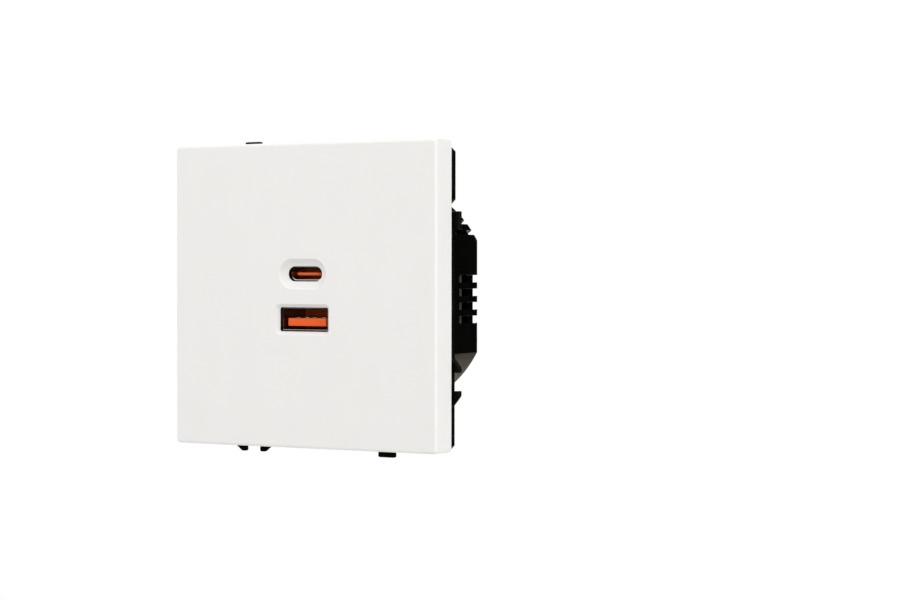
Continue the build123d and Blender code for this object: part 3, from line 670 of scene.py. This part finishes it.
def round_edges(mesh: BMesh, edges: Edges, width: float, steps: int) -> None:
    """Rounds edges.

    Args:
        mesh: Shape that the edges belong to.
        edges: Edges to round.
        width: Width of the rounding.
        steps: Steps across the rounding.
    """
    bmesh.ops.bevel(
        mesh,
        geom=edges,
        offset=width,
        offset_type="OFFSET",
        segments=steps,
        profile=0.5,
        affect="EDGES",
        clamp_overlap=True,
        material=-1,
    )


def stadium_loop(mesh: BMesh, width: float, height: float, level: float, middle: float) -> Edges:
    """Adds an upright loop with straight sides and round ends.

    Args:
        mesh: Shape that takes the loop.
        width: Overall width.
        height: Overall height, which is also the width of the ends.
        level: Depth of the loop along Y.
        middle: Height of its middle.

    Returns:
        The edges of the loop.
    """
    half_step = Matrix.Rotation(math.pi / LOOP_STEPS, 4, "Z")
    made = bmesh.ops.create_circle(
        mesh, cap_ends=False, segments=LOOP_STEPS, radius=height / 2, matrix=UPRIGHT @ half_step
    )
    ends = made["verts"]
    for side in (-1.0, 1.0):
        end = [vert for vert in ends if vert.co.x * side > 0.0]
        bmesh.ops.translate(mesh, vec=(side * (width - height) / 2, 0.0, 0.0), verts=end)
    bmesh.ops.translate(mesh, vec=(0.0, level, middle), verts=ends)
    return list({edge for vert in ends for edge in vert.link_edges})


def rounded_loop(
    mesh: BMesh, width: float, height: float, radius: float, level: float, middle: float
) -> Edges:
    """Adds an upright rectangular loop with round corners.

    Args:
        mesh: Shape that takes the loop.
        width: Overall width.
        height: Overall height.
        radius: Radius of the corners.
        level: Depth of the loop along Y.
        middle: Height of its middle.

    Returns:
        The edges of the loop.
    """
    made = bmesh.ops.create_grid(mesh, x_segments=1, y_segments=1, size=0.5, matrix=UPRIGHT)
    bmesh.ops.scale(mesh, vec=(width, 1.0, height), verts=made["verts"])
    bmesh.ops.translate(mesh, vec=(0.0, level, middle), verts=made["verts"])
    rounded = bmesh.ops.bevel(
        mesh,
        geom=made["verts"],
        offset=radius,
        offset_type="OFFSET",
        segments=CORNER_STEPS,
        profile=0.5,
        affect="VERTICES",
        material=-1,
    )
    corners = rounded["verts"]
    inside = {face for vert in corners for face in vert.link_faces}
    bmesh.ops.delete(mesh, geom=list(inside), context="FACES_ONLY")
    return list({edge for vert in corners for edge in vert.link_edges})


def bridge_all(mesh: BMesh, loops: list[Edges]) -> None:
    """Joins loops in their order by strips of faces.

    The second loop of each pair stands away from the first while they are joined, because loops in
    one plane have no direction from one to the other.

    Args:
        mesh: Shape that the loops belong to.
        loops: Loops with the same number of edges each.
    """
    for first, second in zip(loops, loops[1:]):
        moved = list({vert for edge in second for vert in edge.verts})
        places = [vert.co.copy() for vert in moved]
        level = first[0].verts[0].co.y
        for vert in moved:
            vert.co.y = level + BRIDGE_ROOM
        bmesh.ops.bridge_loops(mesh, edges=first + second)
        for vert, place in zip(moved, places):
            vert.co = place


def fill_between(mesh: BMesh, loops: list[Edges], normal: Place) -> None:
    """Fills the flat face between an outer loop and the loops inside it, looking along a normal."""
    edges = [edge for loop in loops for edge in loop]
    bmesh.ops.triangle_fill(mesh, use_beauty=True, use_dissolve=False, edges=edges, normal=normal)


def add_block(mesh: BMesh, size: Place, middle: Place) -> list[BMVert]:
    """Adds a block.

    Args:
        mesh: Shape that takes the block.
        size: Its size along each axis.
        middle: Its middle.

    Returns:
        Its corners.
    """
    made = bmesh.ops.create_cube(mesh, size=1.0)
    bmesh.ops.scale(mesh, vec=size, verts=made["verts"])
    bmesh.ops.translate(mesh, vec=middle, verts=made["verts"])
    return made["verts"]


@dataclass(frozen=True)
class PortOpening:
    """Opening in the plate for one port.

    Its section lists steps from the front inwards in millimetres: how far each stands outside the
    opening, and how deep it lies.
    """

    middle: float
    width: float
    height: float
    section: tuple[Span, ...]
    corner: float | None = None

    def loop(self, mesh: BMesh, offset: float, level: float) -> Edges:
        """Adds a loop around the opening, with round ends where it has no corners.

        Args:
            mesh: Shape of the plate.
            offset: Distance outside the opening.
            level: Depth of the loop along Y.

        Returns:
            The edges of the loop.
        """
        width = self.width + 2 * offset
        height = self.height + 2 * offset
        if self.corner is None:
            return stadium_loop(mesh, width, height, level, self.middle)
        return rounded_loop(mesh, width, height, self.corner + offset, level, self.middle)


@dataclass
class FrontPlate(Assembly):
    """White cover with a funnel around the small port and a bevel around the large one."""

    mesh: BMesh = field(default_factory=bmesh.new, init=False)
    size: float = 71.0 * MM
    depth: float = 7.1 * MM
    front: float = -9.9 * MM
    lift: float = 0.5 * MM
    corner: float = 1.0 * MM
    edge: float = 0.7 * MM
    rim_wall: float = 1.8 * MM
    front_wall: float = 2.0 * MM
    rib_span: float = 58.0 * MM
    rib_wall: float = 1.0 * MM
    rib_height: float = 0.45 * MM
    rib_round: float = 0.3 * MM
    cavity_round: float = 0.3 * MM
    peg_x: float = 29.0 * MM
    peg_z: float = 18.2 * MM
    peg_width: float = 4.0 * MM
    peg_thick: float = 1.4 * MM
    peg_tip: float = -0.4 * MM
    peg_tip_cut: float = 0.3 * MM
    peg_root: float = 0.5 * MM
    pocket_margin: float = 1.2 * MM
    pocket_round: float = 0.3 * MM
    small: PortOpening = PortOpening(
        middle=5.5 * MM,
        width=9.18 * MM,
        height=3.5 * MM,
        section=(
            (1.86, 0.0), (1.8, 0.015), (1.74, 0.06), (1.67, 0.15), (1.56, 0.32), (1.38, 0.57), (1.1, 0.85),
            (0.77, 1.09), (0.42, 1.27), (0.12, 1.37), (0.03, 1.41), (0.0, 1.48), (0.0, 1.6),
        ),
    )
    large: PortOpening = PortOpening(
        middle=-5.1 * MM,
        width=13.1 * MM,
        height=5.6 * MM,
        section=(
            (0.88, 0.0), (0.81, 0.02), (0.74, 0.07), (0.1, 0.83), (0.03, 0.93), (0.0, 1.0), (0.0, 1.1),
        ),
        corner=0.45 * MM,
    )

    @property
    def inner(self) -> float:
        """Depth of the inner face."""
        return self.front + self.front_wall

    @property
    def rear(self) -> float:
        """Depth of the rear edge."""
        return self.front + self.depth

    def build(self) -> None:
        """Builds and dresses the plate."""
        outside, rear_rim = self.outside()
        cavity = self.size - 2 * self.rim_wall
        rim, floor_rim = (
            rounded_loop(self.mesh, cavity, cavity, self.cavity_round, level, self.lift)
            for level in (self.rear, self.inner)
        )
        bridge_all(self.mesh, [rear_rim, rim, floor_rim])
        small, small_pocket = self.port(self.small)
        large, large_pocket = self.port(self.large)
        fill_between(self.mesh, [outside, small, large], FORWARDS)
        rib_outside, rib_inside = self.rib()
        fill_between(self.mesh, [floor_rim, rib_outside], BACKWARDS)
        fill_between(self.mesh, [rib_inside, small_pocket, large_pocket], BACKWARDS)
        bmesh.ops.recalc_face_normals(self.mesh, faces=self.mesh.faces)
        self.pegs()
        slot = Slot.WHITE_PLASTIC
        self.maker.finish(self.mesh, "front_plate_piece", slot, Body.PLATE, "front_plate")

    def outside(self) -> tuple[Edges, Edges]:
        """Adds the rounded outside, open in front and behind.

        Returns:
            The front loop and the rear loop.
        """
        mesh = self.mesh
        middle = (0.0, self.front + self.depth / 2, self.lift)
        corners = add_block(mesh, (self.size, self.depth, self.size), middle)
        sides = edges_of(corners, lambda edge: runs_along(edge, Axis.Y))
        round_edges(mesh, sides, self.corner, CORNER_STEPS)
        front_rim = edges_of(mesh.verts, lambda edge: in_plane(edge, Axis.Y, self.front))
        round_edges(mesh, front_rim, self.edge, steps=6)
        ends = [face for face in mesh.faces if abs(face.normal.y) > NORMAL_ALONG]
        bmesh.ops.delete(mesh, geom=ends, context="FACES_ONLY")
        front_loop = edges_of(mesh.verts, lambda edge: in_plane(edge, Axis.Y, self.front))
        rear_loop = edges_of(mesh.verts, lambda edge: in_plane(edge, Axis.Y, self.rear))
        return front_loop, rear_loop

    def port(self, opening: PortOpening) -> tuple[Edges, Edges]:
        """Adds an opening and the pocket behind it, which takes the black guard around the socket.

        Args:
            opening: Opening of the port.

        Returns:
            The loop of the opening on the front and the loop of the pocket on the inner face.
        """
        loops = [
            opening.loop(self.mesh, offset * MM, self.front + deep * MM)
            for offset, deep in opening.section
        ]
        bridge_all(self.mesh, loops)
        width = opening.width + 2 * self.pocket_margin
        height = opening.height + 2 * self.pocket_margin
        pocket_floor = self.front + opening.section[-1][1] * MM
        floor, rim = (
            rounded_loop(self.mesh, width, height, self.pocket_round, level, opening.middle)
            for level in (pocket_floor, self.inner)
        )
        fill_between(self.mesh, [floor, loops[-1]], BACKWARDS)
        bridge_all(self.mesh, [floor, rim])
        return loops[0], rim

    def rib(self) -> tuple[Edges, Edges]:
        """Adds the low rib inside the plate.

        Returns:
            The outer loop and the inner loop on the inner face.
        """
        outside = self.rib_span
        inside = outside - 2 * self.rib_wall
        foot = self.inner
        top = foot + self.rib_height
        loops = [
            rounded_loop(self.mesh, span, span, self.rib_round, level, self.lift)
            for span, level in ((outside, foot), (outside, top), (inside, top), (inside, foot))
        ]
        bridge_all(self.mesh, loops)
        return loops[0], loops[-1]

    def pegs(self) -> None:
        """Adds the four pegs with their cut tips."""
        root = self.inner - self.peg_root
        size = (self.peg_width, self.peg_tip - root, self.peg_thick)
        for x in (-self.peg_x, self.peg_x):
            for z in (-self.peg_z, self.peg_z):
                corners = add_block(self.mesh, size, (x, (self.peg_tip + root) / 2, z))
                tip = edges_of(corners, lambda edge: in_plane(edge, Axis.Y, self.peg_tip))
                round_edges(self.mesh, tip, self.peg_tip_cut, steps=2)


@dataclass(frozen=True)
class ShellWall:
    """Wall of a socket's shell from its rear to its rounded lip."""

    front: float
    rear: float = 5.0 * MM
    thick: float = 0.3 * MM
    lip: float = 0.09 * MM
    lip_curve: float = 0.3

    def section(self) -> list[Span]:
        """Lists inset and depth along Y from the rear outside, around the lip, to the rear inside.

        Returns:
            Four steps outside and four steps inside.
        """
        near = self.lip_curve * self.lip
        outside = [
            (0.0, self.rear),
            (0.0, self.front + self.lip),
            (near, self.front + near),
            (self.lip, self.front),
        ]
        return outside + [(self.thick - inset, level) for inset, level in reversed(outside)]


@dataclass
class SmallSocket(Assembly):
    """Socket with a drawn oval shell around a thin tongue with pads on both sides."""

    shell: ShellWall = ShellWall(front=-7.5 * MM)
    middle: float = 5.5 * MM
    width: float = 8.94 * MM
    height: float = 3.26 * MM
    base_depth: float = 5.9 * MM
    base_gap: float = 0.02 * MM
    tongue_width: float = 6.69 * MM
    tongue_thick: float = 0.7 * MM
    tongue_tip: float = -7.1 * MM
    tongue_corner: float = 0.8 * MM
    tongue_edge: float = 0.26 * MM
    pad_count: int = 8
    pad_pitch: float = 0.72 * MM
    pad_width: float = 0.36 * MM
    pad_thick: float = 0.08 * MM
    pad_setback: float = 0.7 * MM
    pad_edge: float = 0.02 * MM

    @property
    def base_front(self) -> float:
        """Depth of the front of the base."""
        return self.shell.rear - self.base_depth

    def build(self) -> None:
        """Builds and dresses the socket."""
        self.build_shell()
        self.build_tongue()
        self.build_pads()

    def build_shell(self) -> None:
        """Builds the shell with its rounded lip."""
        mesh = bmesh.new()
        loops = [
            stadium_loop(mesh, self.width - 2 * inset, self.height - 2 * inset, level, self.middle)
            for inset, level in self.shell.section()
        ]
        bridge_all(mesh, loops + loops[:1])
        bmesh.ops.recalc_face_normals(mesh, faces=mesh.faces)
        # The shell takes the brighter copy of the plated steel: painted light for the inside of the socket
        slot = Slot.PLATED_STEEL
        self.maker.finish(mesh, "small_socket_shell", slot, Body.MODULE, "usb_c_shell", Variant.PAINTED_LIGHT_STEEL)

    def build_tongue(self) -> None:
        """Builds the base and the tongue with its round corners."""
        mesh = bmesh.new()
        inset = 2 * (self.shell.thick + self.base_gap)
        loops = [
            stadium_loop(mesh, self.width - inset, self.height - inset, level, self.middle)
            for level in (self.base_front, self.shell.rear)
        ]
        bridge_all(mesh, loops)
        bmesh.ops.holes_fill(mesh, edges=mesh.edges, sides=0)
        bmesh.ops.recalc_face_normals(mesh, faces=mesh.faces)
        length = self.base_front - self.tongue_tip
        size = (self.tongue_width, length, self.tongue_thick)
        corners = add_block(mesh, size, (0.0, self.tongue_tip + length / 2, self.middle))
        front = edges_of(
            corners,
            lambda edge: runs_along(edge, Axis.Z) and in_plane(edge, Axis.Y, self.tongue_tip),
        )
        round_edges(mesh, front, self.tongue_corner, steps=6)
        tongue_end = self.base_front - self.shell.thick
        brink = [edge for edge in sharp_edges(mesh, SQUARE_ANGLE) if edge.verts[0].co.y < tongue_end]
        round_edges(mesh, brink, self.tongue_edge, steps=3)
        self.maker.finish(mesh, "small_socket_tongue", Slot.ORANGE_PLASTIC, Body.MODULE, "usb_c_tongue")

    def build_pads(self) -> None:
        """Builds the pads on both sides of the tongue."""
        mesh = bmesh.new()
        start = self.tongue_tip + self.pad_setback
        size = (self.pad_width, self.base_front - start, self.pad_thick)
        for side in (-1.0, 1.0):
            level = self.middle + side * (self.tongue_thick + self.pad_thick) / 2
            for number in range(self.pad_count):
                x = (number - (self.pad_count - 1) / 2) * self.pad_pitch
                add_block(mesh, size, (x, (start + self.base_front) / 2, level))
        round_edges(mesh, sharp_edges(mesh, SQUARE_ANGLE), self.pad_edge, steps=1)
        self.maker.finish(mesh, "small_socket_pads", Slot.GOLD_PLATE, Body.MODULE, "usb_c_contacts")


@dataclass
class LargeSocket(Assembly):
    """Socket with a folded square shell, a thick low tongue and four contact strips."""

    shell: ShellWall = ShellWall(front=-8.35 * MM)
    middle: float = -5.1 * MM
    width: float = 12.7 * MM
    height: float = 5.3 * MM
    corner: float = 0.4 * MM
    inner_corner: float = 0.12 * MM
    base_depth: float = 3.5 * MM
    tongue_width: float = 10.4 * MM
    tongue_thick: float = 1.84 * MM
    tongue_drop: float = 0.65 * MM
    tongue_tip: float = -7.65 * MM
    tongue_edge: float = 0.18 * MM
    strip_places: tuple[float, ...] = (-3.5 * MM, -1.0 * MM, 1.0 * MM, 3.5 * MM)
    strip_width: float = 1.0 * MM
    strip_thick: float = 0.3 * MM
    strip_setback: float = 1.75 * MM
    strip_nose: float = 0.21 * MM
    strip_edge: float = 0.03 * MM

    @property
    def base_front(self) -> float:
        """Depth of the front of the base."""
        return self.shell.rear - self.base_depth

    def build(self) -> None:
        """Builds and dresses the socket."""
        self.build_shell()
        self.build_tongue()
        self.build_strips()

    def build_shell(self) -> None:
        """Builds the shell with its rounded lip."""
        mesh = bmesh.new()
        inside = self.inner_corner
        # One radius for each step of the section: four outside, then four inside from the lip on
        corners = [self.corner] * 4 + [inside + self.shell.lip] + [inside] * 3
        loops = [
            rounded_loop(mesh, self.width - 2 * inset, self.height - 2 * inset, corner, level, self.middle)
            for (inset, level), corner in zip(self.shell.section(), corners)
        ]
        bridge_all(mesh, loops + loops[:1])
        bmesh.ops.recalc_face_normals(mesh, faces=mesh.faces)
        self.maker.finish(mesh, "large_socket_shell", Slot.PLATED_STEEL, Body.MODULE, "usb_a_shell")

    def build_tongue(self) -> None:
        """Builds the base and the tongue."""
        mesh = bmesh.new()
        inset = 2 * self.shell.thick
        base = (self.width - inset, self.base_depth, self.height - inset)
        add_block(mesh, base, (0.0, self.shell.rear - self.base_depth / 2, self.middle))
        length = self.base_front - self.tongue_tip
        size = (self.tongue_width, length, self.tongue_thick)
        middle = (0.0, self.tongue_tip + length / 2, self.middle - self.tongue_drop)
        corners = add_block(mesh, size, middle)
        brink = edges_of(corners, lambda edge: not in_plane(edge, Axis.Y, self.base_front))
        round_edges(mesh, brink, self.tongue_edge, steps=4)
        self.maker.finish(mesh, "large_socket_tongue", Slot.ORANGE_PLASTIC, Body.MODULE, "usb_a_tongue")

    def build_strips(self) -> None:
        """Builds the contact strips with their rounded tips."""
        mesh = bmesh.new()
        start = self.tongue_tip + self.strip_setback
        level = self.middle - self.tongue_drop + self.tongue_thick / 2 + self.strip_thick / 2
        size = (self.strip_width, self.base_front - start, self.strip_thick)
        for place in self.strip_places:
            corners = add_block(mesh, size, (place, (start + self.base_front) / 2, level))
            tip = edges_of(
                corners,
                lambda edge: runs_along(edge, Axis.X) and in_plane(edge, Axis.Y, start),
            )
            nose = [edge for edge in tip if edge.verts[0].co.z > level]
            round_edges(mesh, nose, self.strip_nose, steps=4)
        round_edges(mesh, sharp_edges(mesh, SQUARE_ANGLE), self.strip_edge, steps=2)
        self.maker.finish(mesh, "large_socket_strips", Slot.GOLD_PLATE, Body.MODULE, "usb_a_contacts")


@dataclass
class MouldedBack(Assembly):
    """Black support frame, port guard and rear housing with the small rounding that moulding leaves."""

    rounding: float = 0.16 * MM
    tip_rounding: float = 0.45 * MM
    tip_depth: float = 0.3 * MM
    tip_merge: float = 0.02 * MM

    def build(self) -> None:
        """Builds and dresses the mouldings."""
        mouldings = (
            ("support_frame", self.round_tips, Variant.MATT_BLACK),
            ("port_guard", None, Variant.MATT_BLACK),
            ("rear_housing", None, None),
        )
        for node, before, variant in mouldings:
            self.maker.softened(
                node, Slot.BLACK_PLASTIC, Body.MODULE, self.rounding, steps=3, before=before, variant=variant
            )

    def round_tips(self, mesh: BMesh) -> None:
        """Rounds the outer corners of the link tabs and hooks, and merges points that meet there.

        Args:
            mesh: Shape of the support frame.
        """
        reach = max(vert.co.x for vert in mesh.verts) - self.tip_depth
        tips = [
            edge
            for edge in sharp_edges(mesh, EDGE_ANGLE)
            if runs_along(edge, Axis.Y) and max(abs(edge.verts[0].co.x), abs(edge.verts[0].co.z)) > reach
        ]
        round_edges(mesh, tips, self.tip_rounding, steps=4)
        bmesh.ops.remove_doubles(mesh, verts=mesh.verts, dist=self.tip_merge)


@dataclass
class Terminals(Assembly):
    """Brass screws, clamp plates and bars for the two wires."""

    screw_rounding: float = 0.12 * MM
    plate_rounding: float = 0.1 * MM
    wires: tuple[str, ...] = ("live", "neutral")

    def build(self) -> None:
        """Builds and dresses both terminals."""
        for wire in self.wires:
            screw = Body("screw_" + wire)
            clamp = Body("clamp_" + wire)
            self.maker.softened("terminal_screw_" + wire, Slot.BRASS, screw, self.screw_rounding, steps=3)
            self.maker.softened("clamp_plate_" + wire, Slot.PLATED_STEEL, clamp, self.plate_rounding)
            self.maker.softened("terminal_bar_" + wire, Slot.BRASS, Body.MODULE, self.plate_rounding)


@dataclass
class Electronics(Assembly):
    """Parts on the boards, each with the edge rounding of its kind in millimetres."""

    rounding: dict[str, float] = field(
        default_factory=lambda: {
            "pin_strip": 0.1,
            "transformer_bobbin": 0.12,
            "transformer_winding": 0.3,
            "transformer_core": 0.2,
            "choke_core": 0.2,
            "choke_coil": 0.15,
            "input_capacitor_upper": 0.3,
            "input_capacitor_lower": 0.3,
            "output_capacitor": 0.3,
            "line_capacitor": 0.25,
            "disc_capacitor": 0.5,
            "input_fuse": 0.3,
            "bridge_rectifier": 0.06,
            "power_switch_chip": 0.06,
            "port_control_chip": 0.06,
            "port_board_screws": 0.1,
            "link_pins": 0.05,
        }
    )

    def build(self, slots: dict[str, Slot]) -> None:
        """Builds and dresses the parts, with the material slot of each node."""
        for node, width in self.rounding.items():
            self.maker.softened(node, slots[node], Body.MODULE, width * MM)


@dataclass
class PictureCamera:
    """Camera of the left view: turned to the right of the socket and a little above its middle."""

    aim: Place = (0.0, -9.9 * MM, 0.5 * MM)
    turn: float = 31.87
    rise: float = 7.2 * MM
    distance: float = 0.563
    lens: float = 97.1
    sensor: float = 36.0
    shift: Span = (0.1645, -0.005)
    clip: Span = (0.01, 50.0)

    def build(self) -> None:
        """Makes the camera and sets it as the scene's own."""
        data = bpy.data.cameras.new("picture_camera")
        data.lens = self.lens
        data.sensor_width = self.sensor
        data.shift_x, data.shift_y = self.shift
        data.clip_start, data.clip_end = self.clip
        camera = linked("picture_camera", data)
        angle = math.radians(self.turn)
        away = Vector((math.sin(angle), -math.cos(angle), 0.0))
        camera.location = Vector(self.aim) + away * self.distance + Vector((0.0, 0.0, self.rise))
        dip = math.atan2(self.rise, self.distance)
        camera.rotation_euler = (math.radians(90.0) - dip, 0.0, angle)
        bpy.context.scene.camera = camera


def facing(place: Place, aim: Place) -> Quaternion:
    """Gives the turn of a lamp or card that stands at a place and looks at a point."""
    return (Vector(aim) - Vector(place)).to_track_quat("-Z", "Y")


def looking_ray(tree: bpy.types.NodeTree) -> bpy.types.NodeSocket:
    """Adds a test for the rays that look at the surroundings, straight, mirrored or through glass.

    Args:
        tree: Node tree that takes the test.

    Returns:
        The output that is 1 for such a ray.
    """
    path = tree.nodes.new("ShaderNodeLightPath")
    seen = path.outputs["Is Camera Ray"]
    for kind in ("Is Glossy Ray", "Is Transmission Ray"):
        either = tree.nodes.new("ShaderNodeMath")
        either.operation = "MAXIMUM"
        tree.links.new(seen, either.inputs[0])
        tree.links.new(path.outputs[kind], either.inputs[1])
        seen = either.outputs["Value"]
    return seen


@dataclass(frozen=True)
class Lamp:
    """One soft box: a rectangular lamp that looks at the socket."""

    name: str
    place: Place
    size: Span
    power: float

    def build(self, aim: Place) -> None:
        """Makes the lamp.

        Args:
            aim: Point that it looks at.
        """
        data = bpy.data.lights.new(self.name, "AREA")
        data.shape = "RECTANGLE"
        data.size, data.size_y = self.size
        data.energy = self.power
        lamp = linked(self.name, data)
        lamp.location = self.place
        lamp.rotation_euler = facing(self.place, aim).to_euler()


@dataclass(frozen=True)
class Card:
    """Card that is seen only in reflections, as a photographer's flag is."""

    name: str
    place: Place
    size: Span
    tone: Colour = (0.003, 0.003, 0.003)
    weave: float = 5.0 * MM

    def build(self, aim: Place) -> None:
        """Makes the card.

        Args:
            aim: Point that it looks at.
        """
        mesh = bmesh.new()
        bmesh.ops.create_grid(mesh, x_segments=1, y_segments=1, size=0.5)
        bmesh.ops.scale(mesh, vec=(*self.size, 1.0), verts=mesh.verts)
        turn = facing(self.place, aim).to_matrix().to_4x4()
        bmesh.ops.transform(mesh, matrix=Matrix.Translation(self.place) @ turn, verts=mesh.verts)
        card = linked_mesh(self.name, mesh)
        card.visible_camera = False
        card.visible_diffuse = False
        card.visible_shadow = False
        sheet = NodeSheet(self.name + "_finish")
        sheet.paint(sheet.noise(self.weave, detail=2.0), self.tone, (0.3, 0.7), (0.7, 1.3))
        sheet.preset("Roughness", 1.0)
        sheet.preset("Specular IOR Level", 0.0)
        card.data.materials.append(sheet.material)


@dataclass
class Studio:
    """White surroundings, pale floor, soft boxes, dark cards and one warm grey card."""

    aim: Place = (0.0, 0.0, 0.0)
    ambient: float = 0.62
    ambient_tint: Colour = (1.0, 0.995, 0.985)
    floor_level: float = -0.6
    floor_size: float = 2.6
    floor_speck: float = 40.0 * MM
    floor_roughness: float = 0.9
    floor_white: float = 0.8
    floor_fade: Span = (0.5, 1.25)
    lamps: tuple[Lamp, ...] = (
        Lamp("key_box", (-0.55, -1.1, 0.75), (1.1, 1.1), 4.0),
        Lamp("top_box", (0.0, -0.45, 0.95), (1.1, 1.1), 4.2),
        Lamp("right_box", (1.15, -0.2, 0.35), (1.0, 1.2), 6.8),
        Lamp("back_box", (-1.0, 1.2, 0.55), (1.0, 1.0), 9.0),
    )
    cards: tuple[Card, ...] = (
        Card("front_card", (-0.1, -1.7, 0.0), (3.6, 1.5)),
        Card("right_card", (1.1, 1.2, 0.1), (3.0, 1.9)),
        Card("back_card", (-0.2, 1.3, 0.9), (2.6, 1.6)),
        Card("low_card", (0.0, -0.15, -0.4), (2.0, 1.2)),
        Card("corner_card", (0.55, 0.7, -0.33), (0.8, 0.6)),
        Card("sweep_card", (-0.1, 0.95, -0.45), (1.2, 0.7), tone=(0.72, 0.63, 0.52)),
    )

    def build(self) -> None:
        """Makes the world, the floor, the lamps and the cards."""
        self.build_world()
        self.build_floor()
        for item in self.lamps + self.cards:
            item.build(self.aim)
        bpy.context.scene.view_settings.view_transform = "Standard"

    def build_world(self) -> None:
        """Makes a world that is white to look at and gives a soft even light."""
        world = bpy.data.worlds.new("white_room")
        world.use_nodes = True
        tree = world.node_tree
        tree.nodes.clear()
        output = tree.nodes.new("ShaderNodeOutputWorld")
        mix = tree.nodes.new("ShaderNodeMixShader")
        tree.links.new(looking_ray(tree), mix.inputs["Fac"])
        lights = ((self.ambient_tint, self.ambient), (WHITE, 1.0))
        for number, (colour, strength) in enumerate(lights, start=1):
            light = tree.nodes.new("ShaderNodeBackground")
            light.inputs["Color"].default_value = (*colour, 1.0)
            light.inputs["Strength"].default_value = strength
            tree.links.new(light.outputs["Background"], mix.inputs[number])
        tree.links.new(mix.outputs["Shader"], output.inputs["Surface"])
        bpy.context.scene.world = world

    def build_floor(self) -> None:
        """Makes the pale floor far below the socket, where its shadow falls."""
        mesh = bmesh.new()
        bmesh.ops.create_grid(mesh, x_segments=1, y_segments=1, size=self.floor_size / 2)
        bmesh.ops.translate(mesh, vec=(0.0, 0.0, self.floor_level), verts=mesh.verts)
        floor = linked_mesh("floor", mesh)
        sheet = NodeSheet("floor_finish")
        sheet.paint(sheet.noise(self.floor_speck, detail=2.0), WHITE, (0.3, 0.93), (0.7, 0.96))
        sheet.preset("Roughness", self.floor_roughness)
        white = sheet.add("ShaderNodeEmission")
        away = sheet.add("ShaderNodeVectorMath", operation="LENGTH")
        sheet.join(sheet.mapped((1.0, 1.0, 0.0)), "Vector", away, 0)
        share = sheet.span(away, "Value", self.floor_white, 1.0)
        share.inputs["From Min"].default_value, share.inputs["From Max"].default_value = self.floor_fade
        seen = sheet.add("ShaderNodeMath", operation="MULTIPLY")
        sheet.join(share, "Result", seen, 0)
        sheet.tree.links.new(looking_ray(sheet.tree), seen.inputs[1])
        mix = sheet.add("ShaderNodeMixShader")
        sheet.join(seen, "Value", mix, "Fac")
        sheet.join(sheet.shader, "BSDF", mix, 1)
        sheet.join(white, "Emission", mix, 2)
        sheet.join(mix, "Shader", sheet.output, "Surface")
        floor.data.materials.append(sheet.material)


def main() -> None:
    """Builds the socket, its studio and its camera."""
    logging.basicConfig(level=logging.INFO, format="%(name)s %(message)s")
    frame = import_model()
    finishes = FinishBook()
    maker = Maker(frame, finishes)
    PictureCamera().build()
    Studio().build()
    slots = {part["node"]: Slot(part["material_slot"]) for part in frame["record"]["subparts"]}
    for name, node in frame["nodes"].items():
        finishes.dress(node, slots[name])
    FrontPlate(maker).build()
    SmallSocket(maker).build()
    LargeSocket(maker).build()
    MouldedBack(maker).build()
    Terminals(maker).build()
    Electronics(maker).build(slots)


if __name__ == "__main__":
    main()
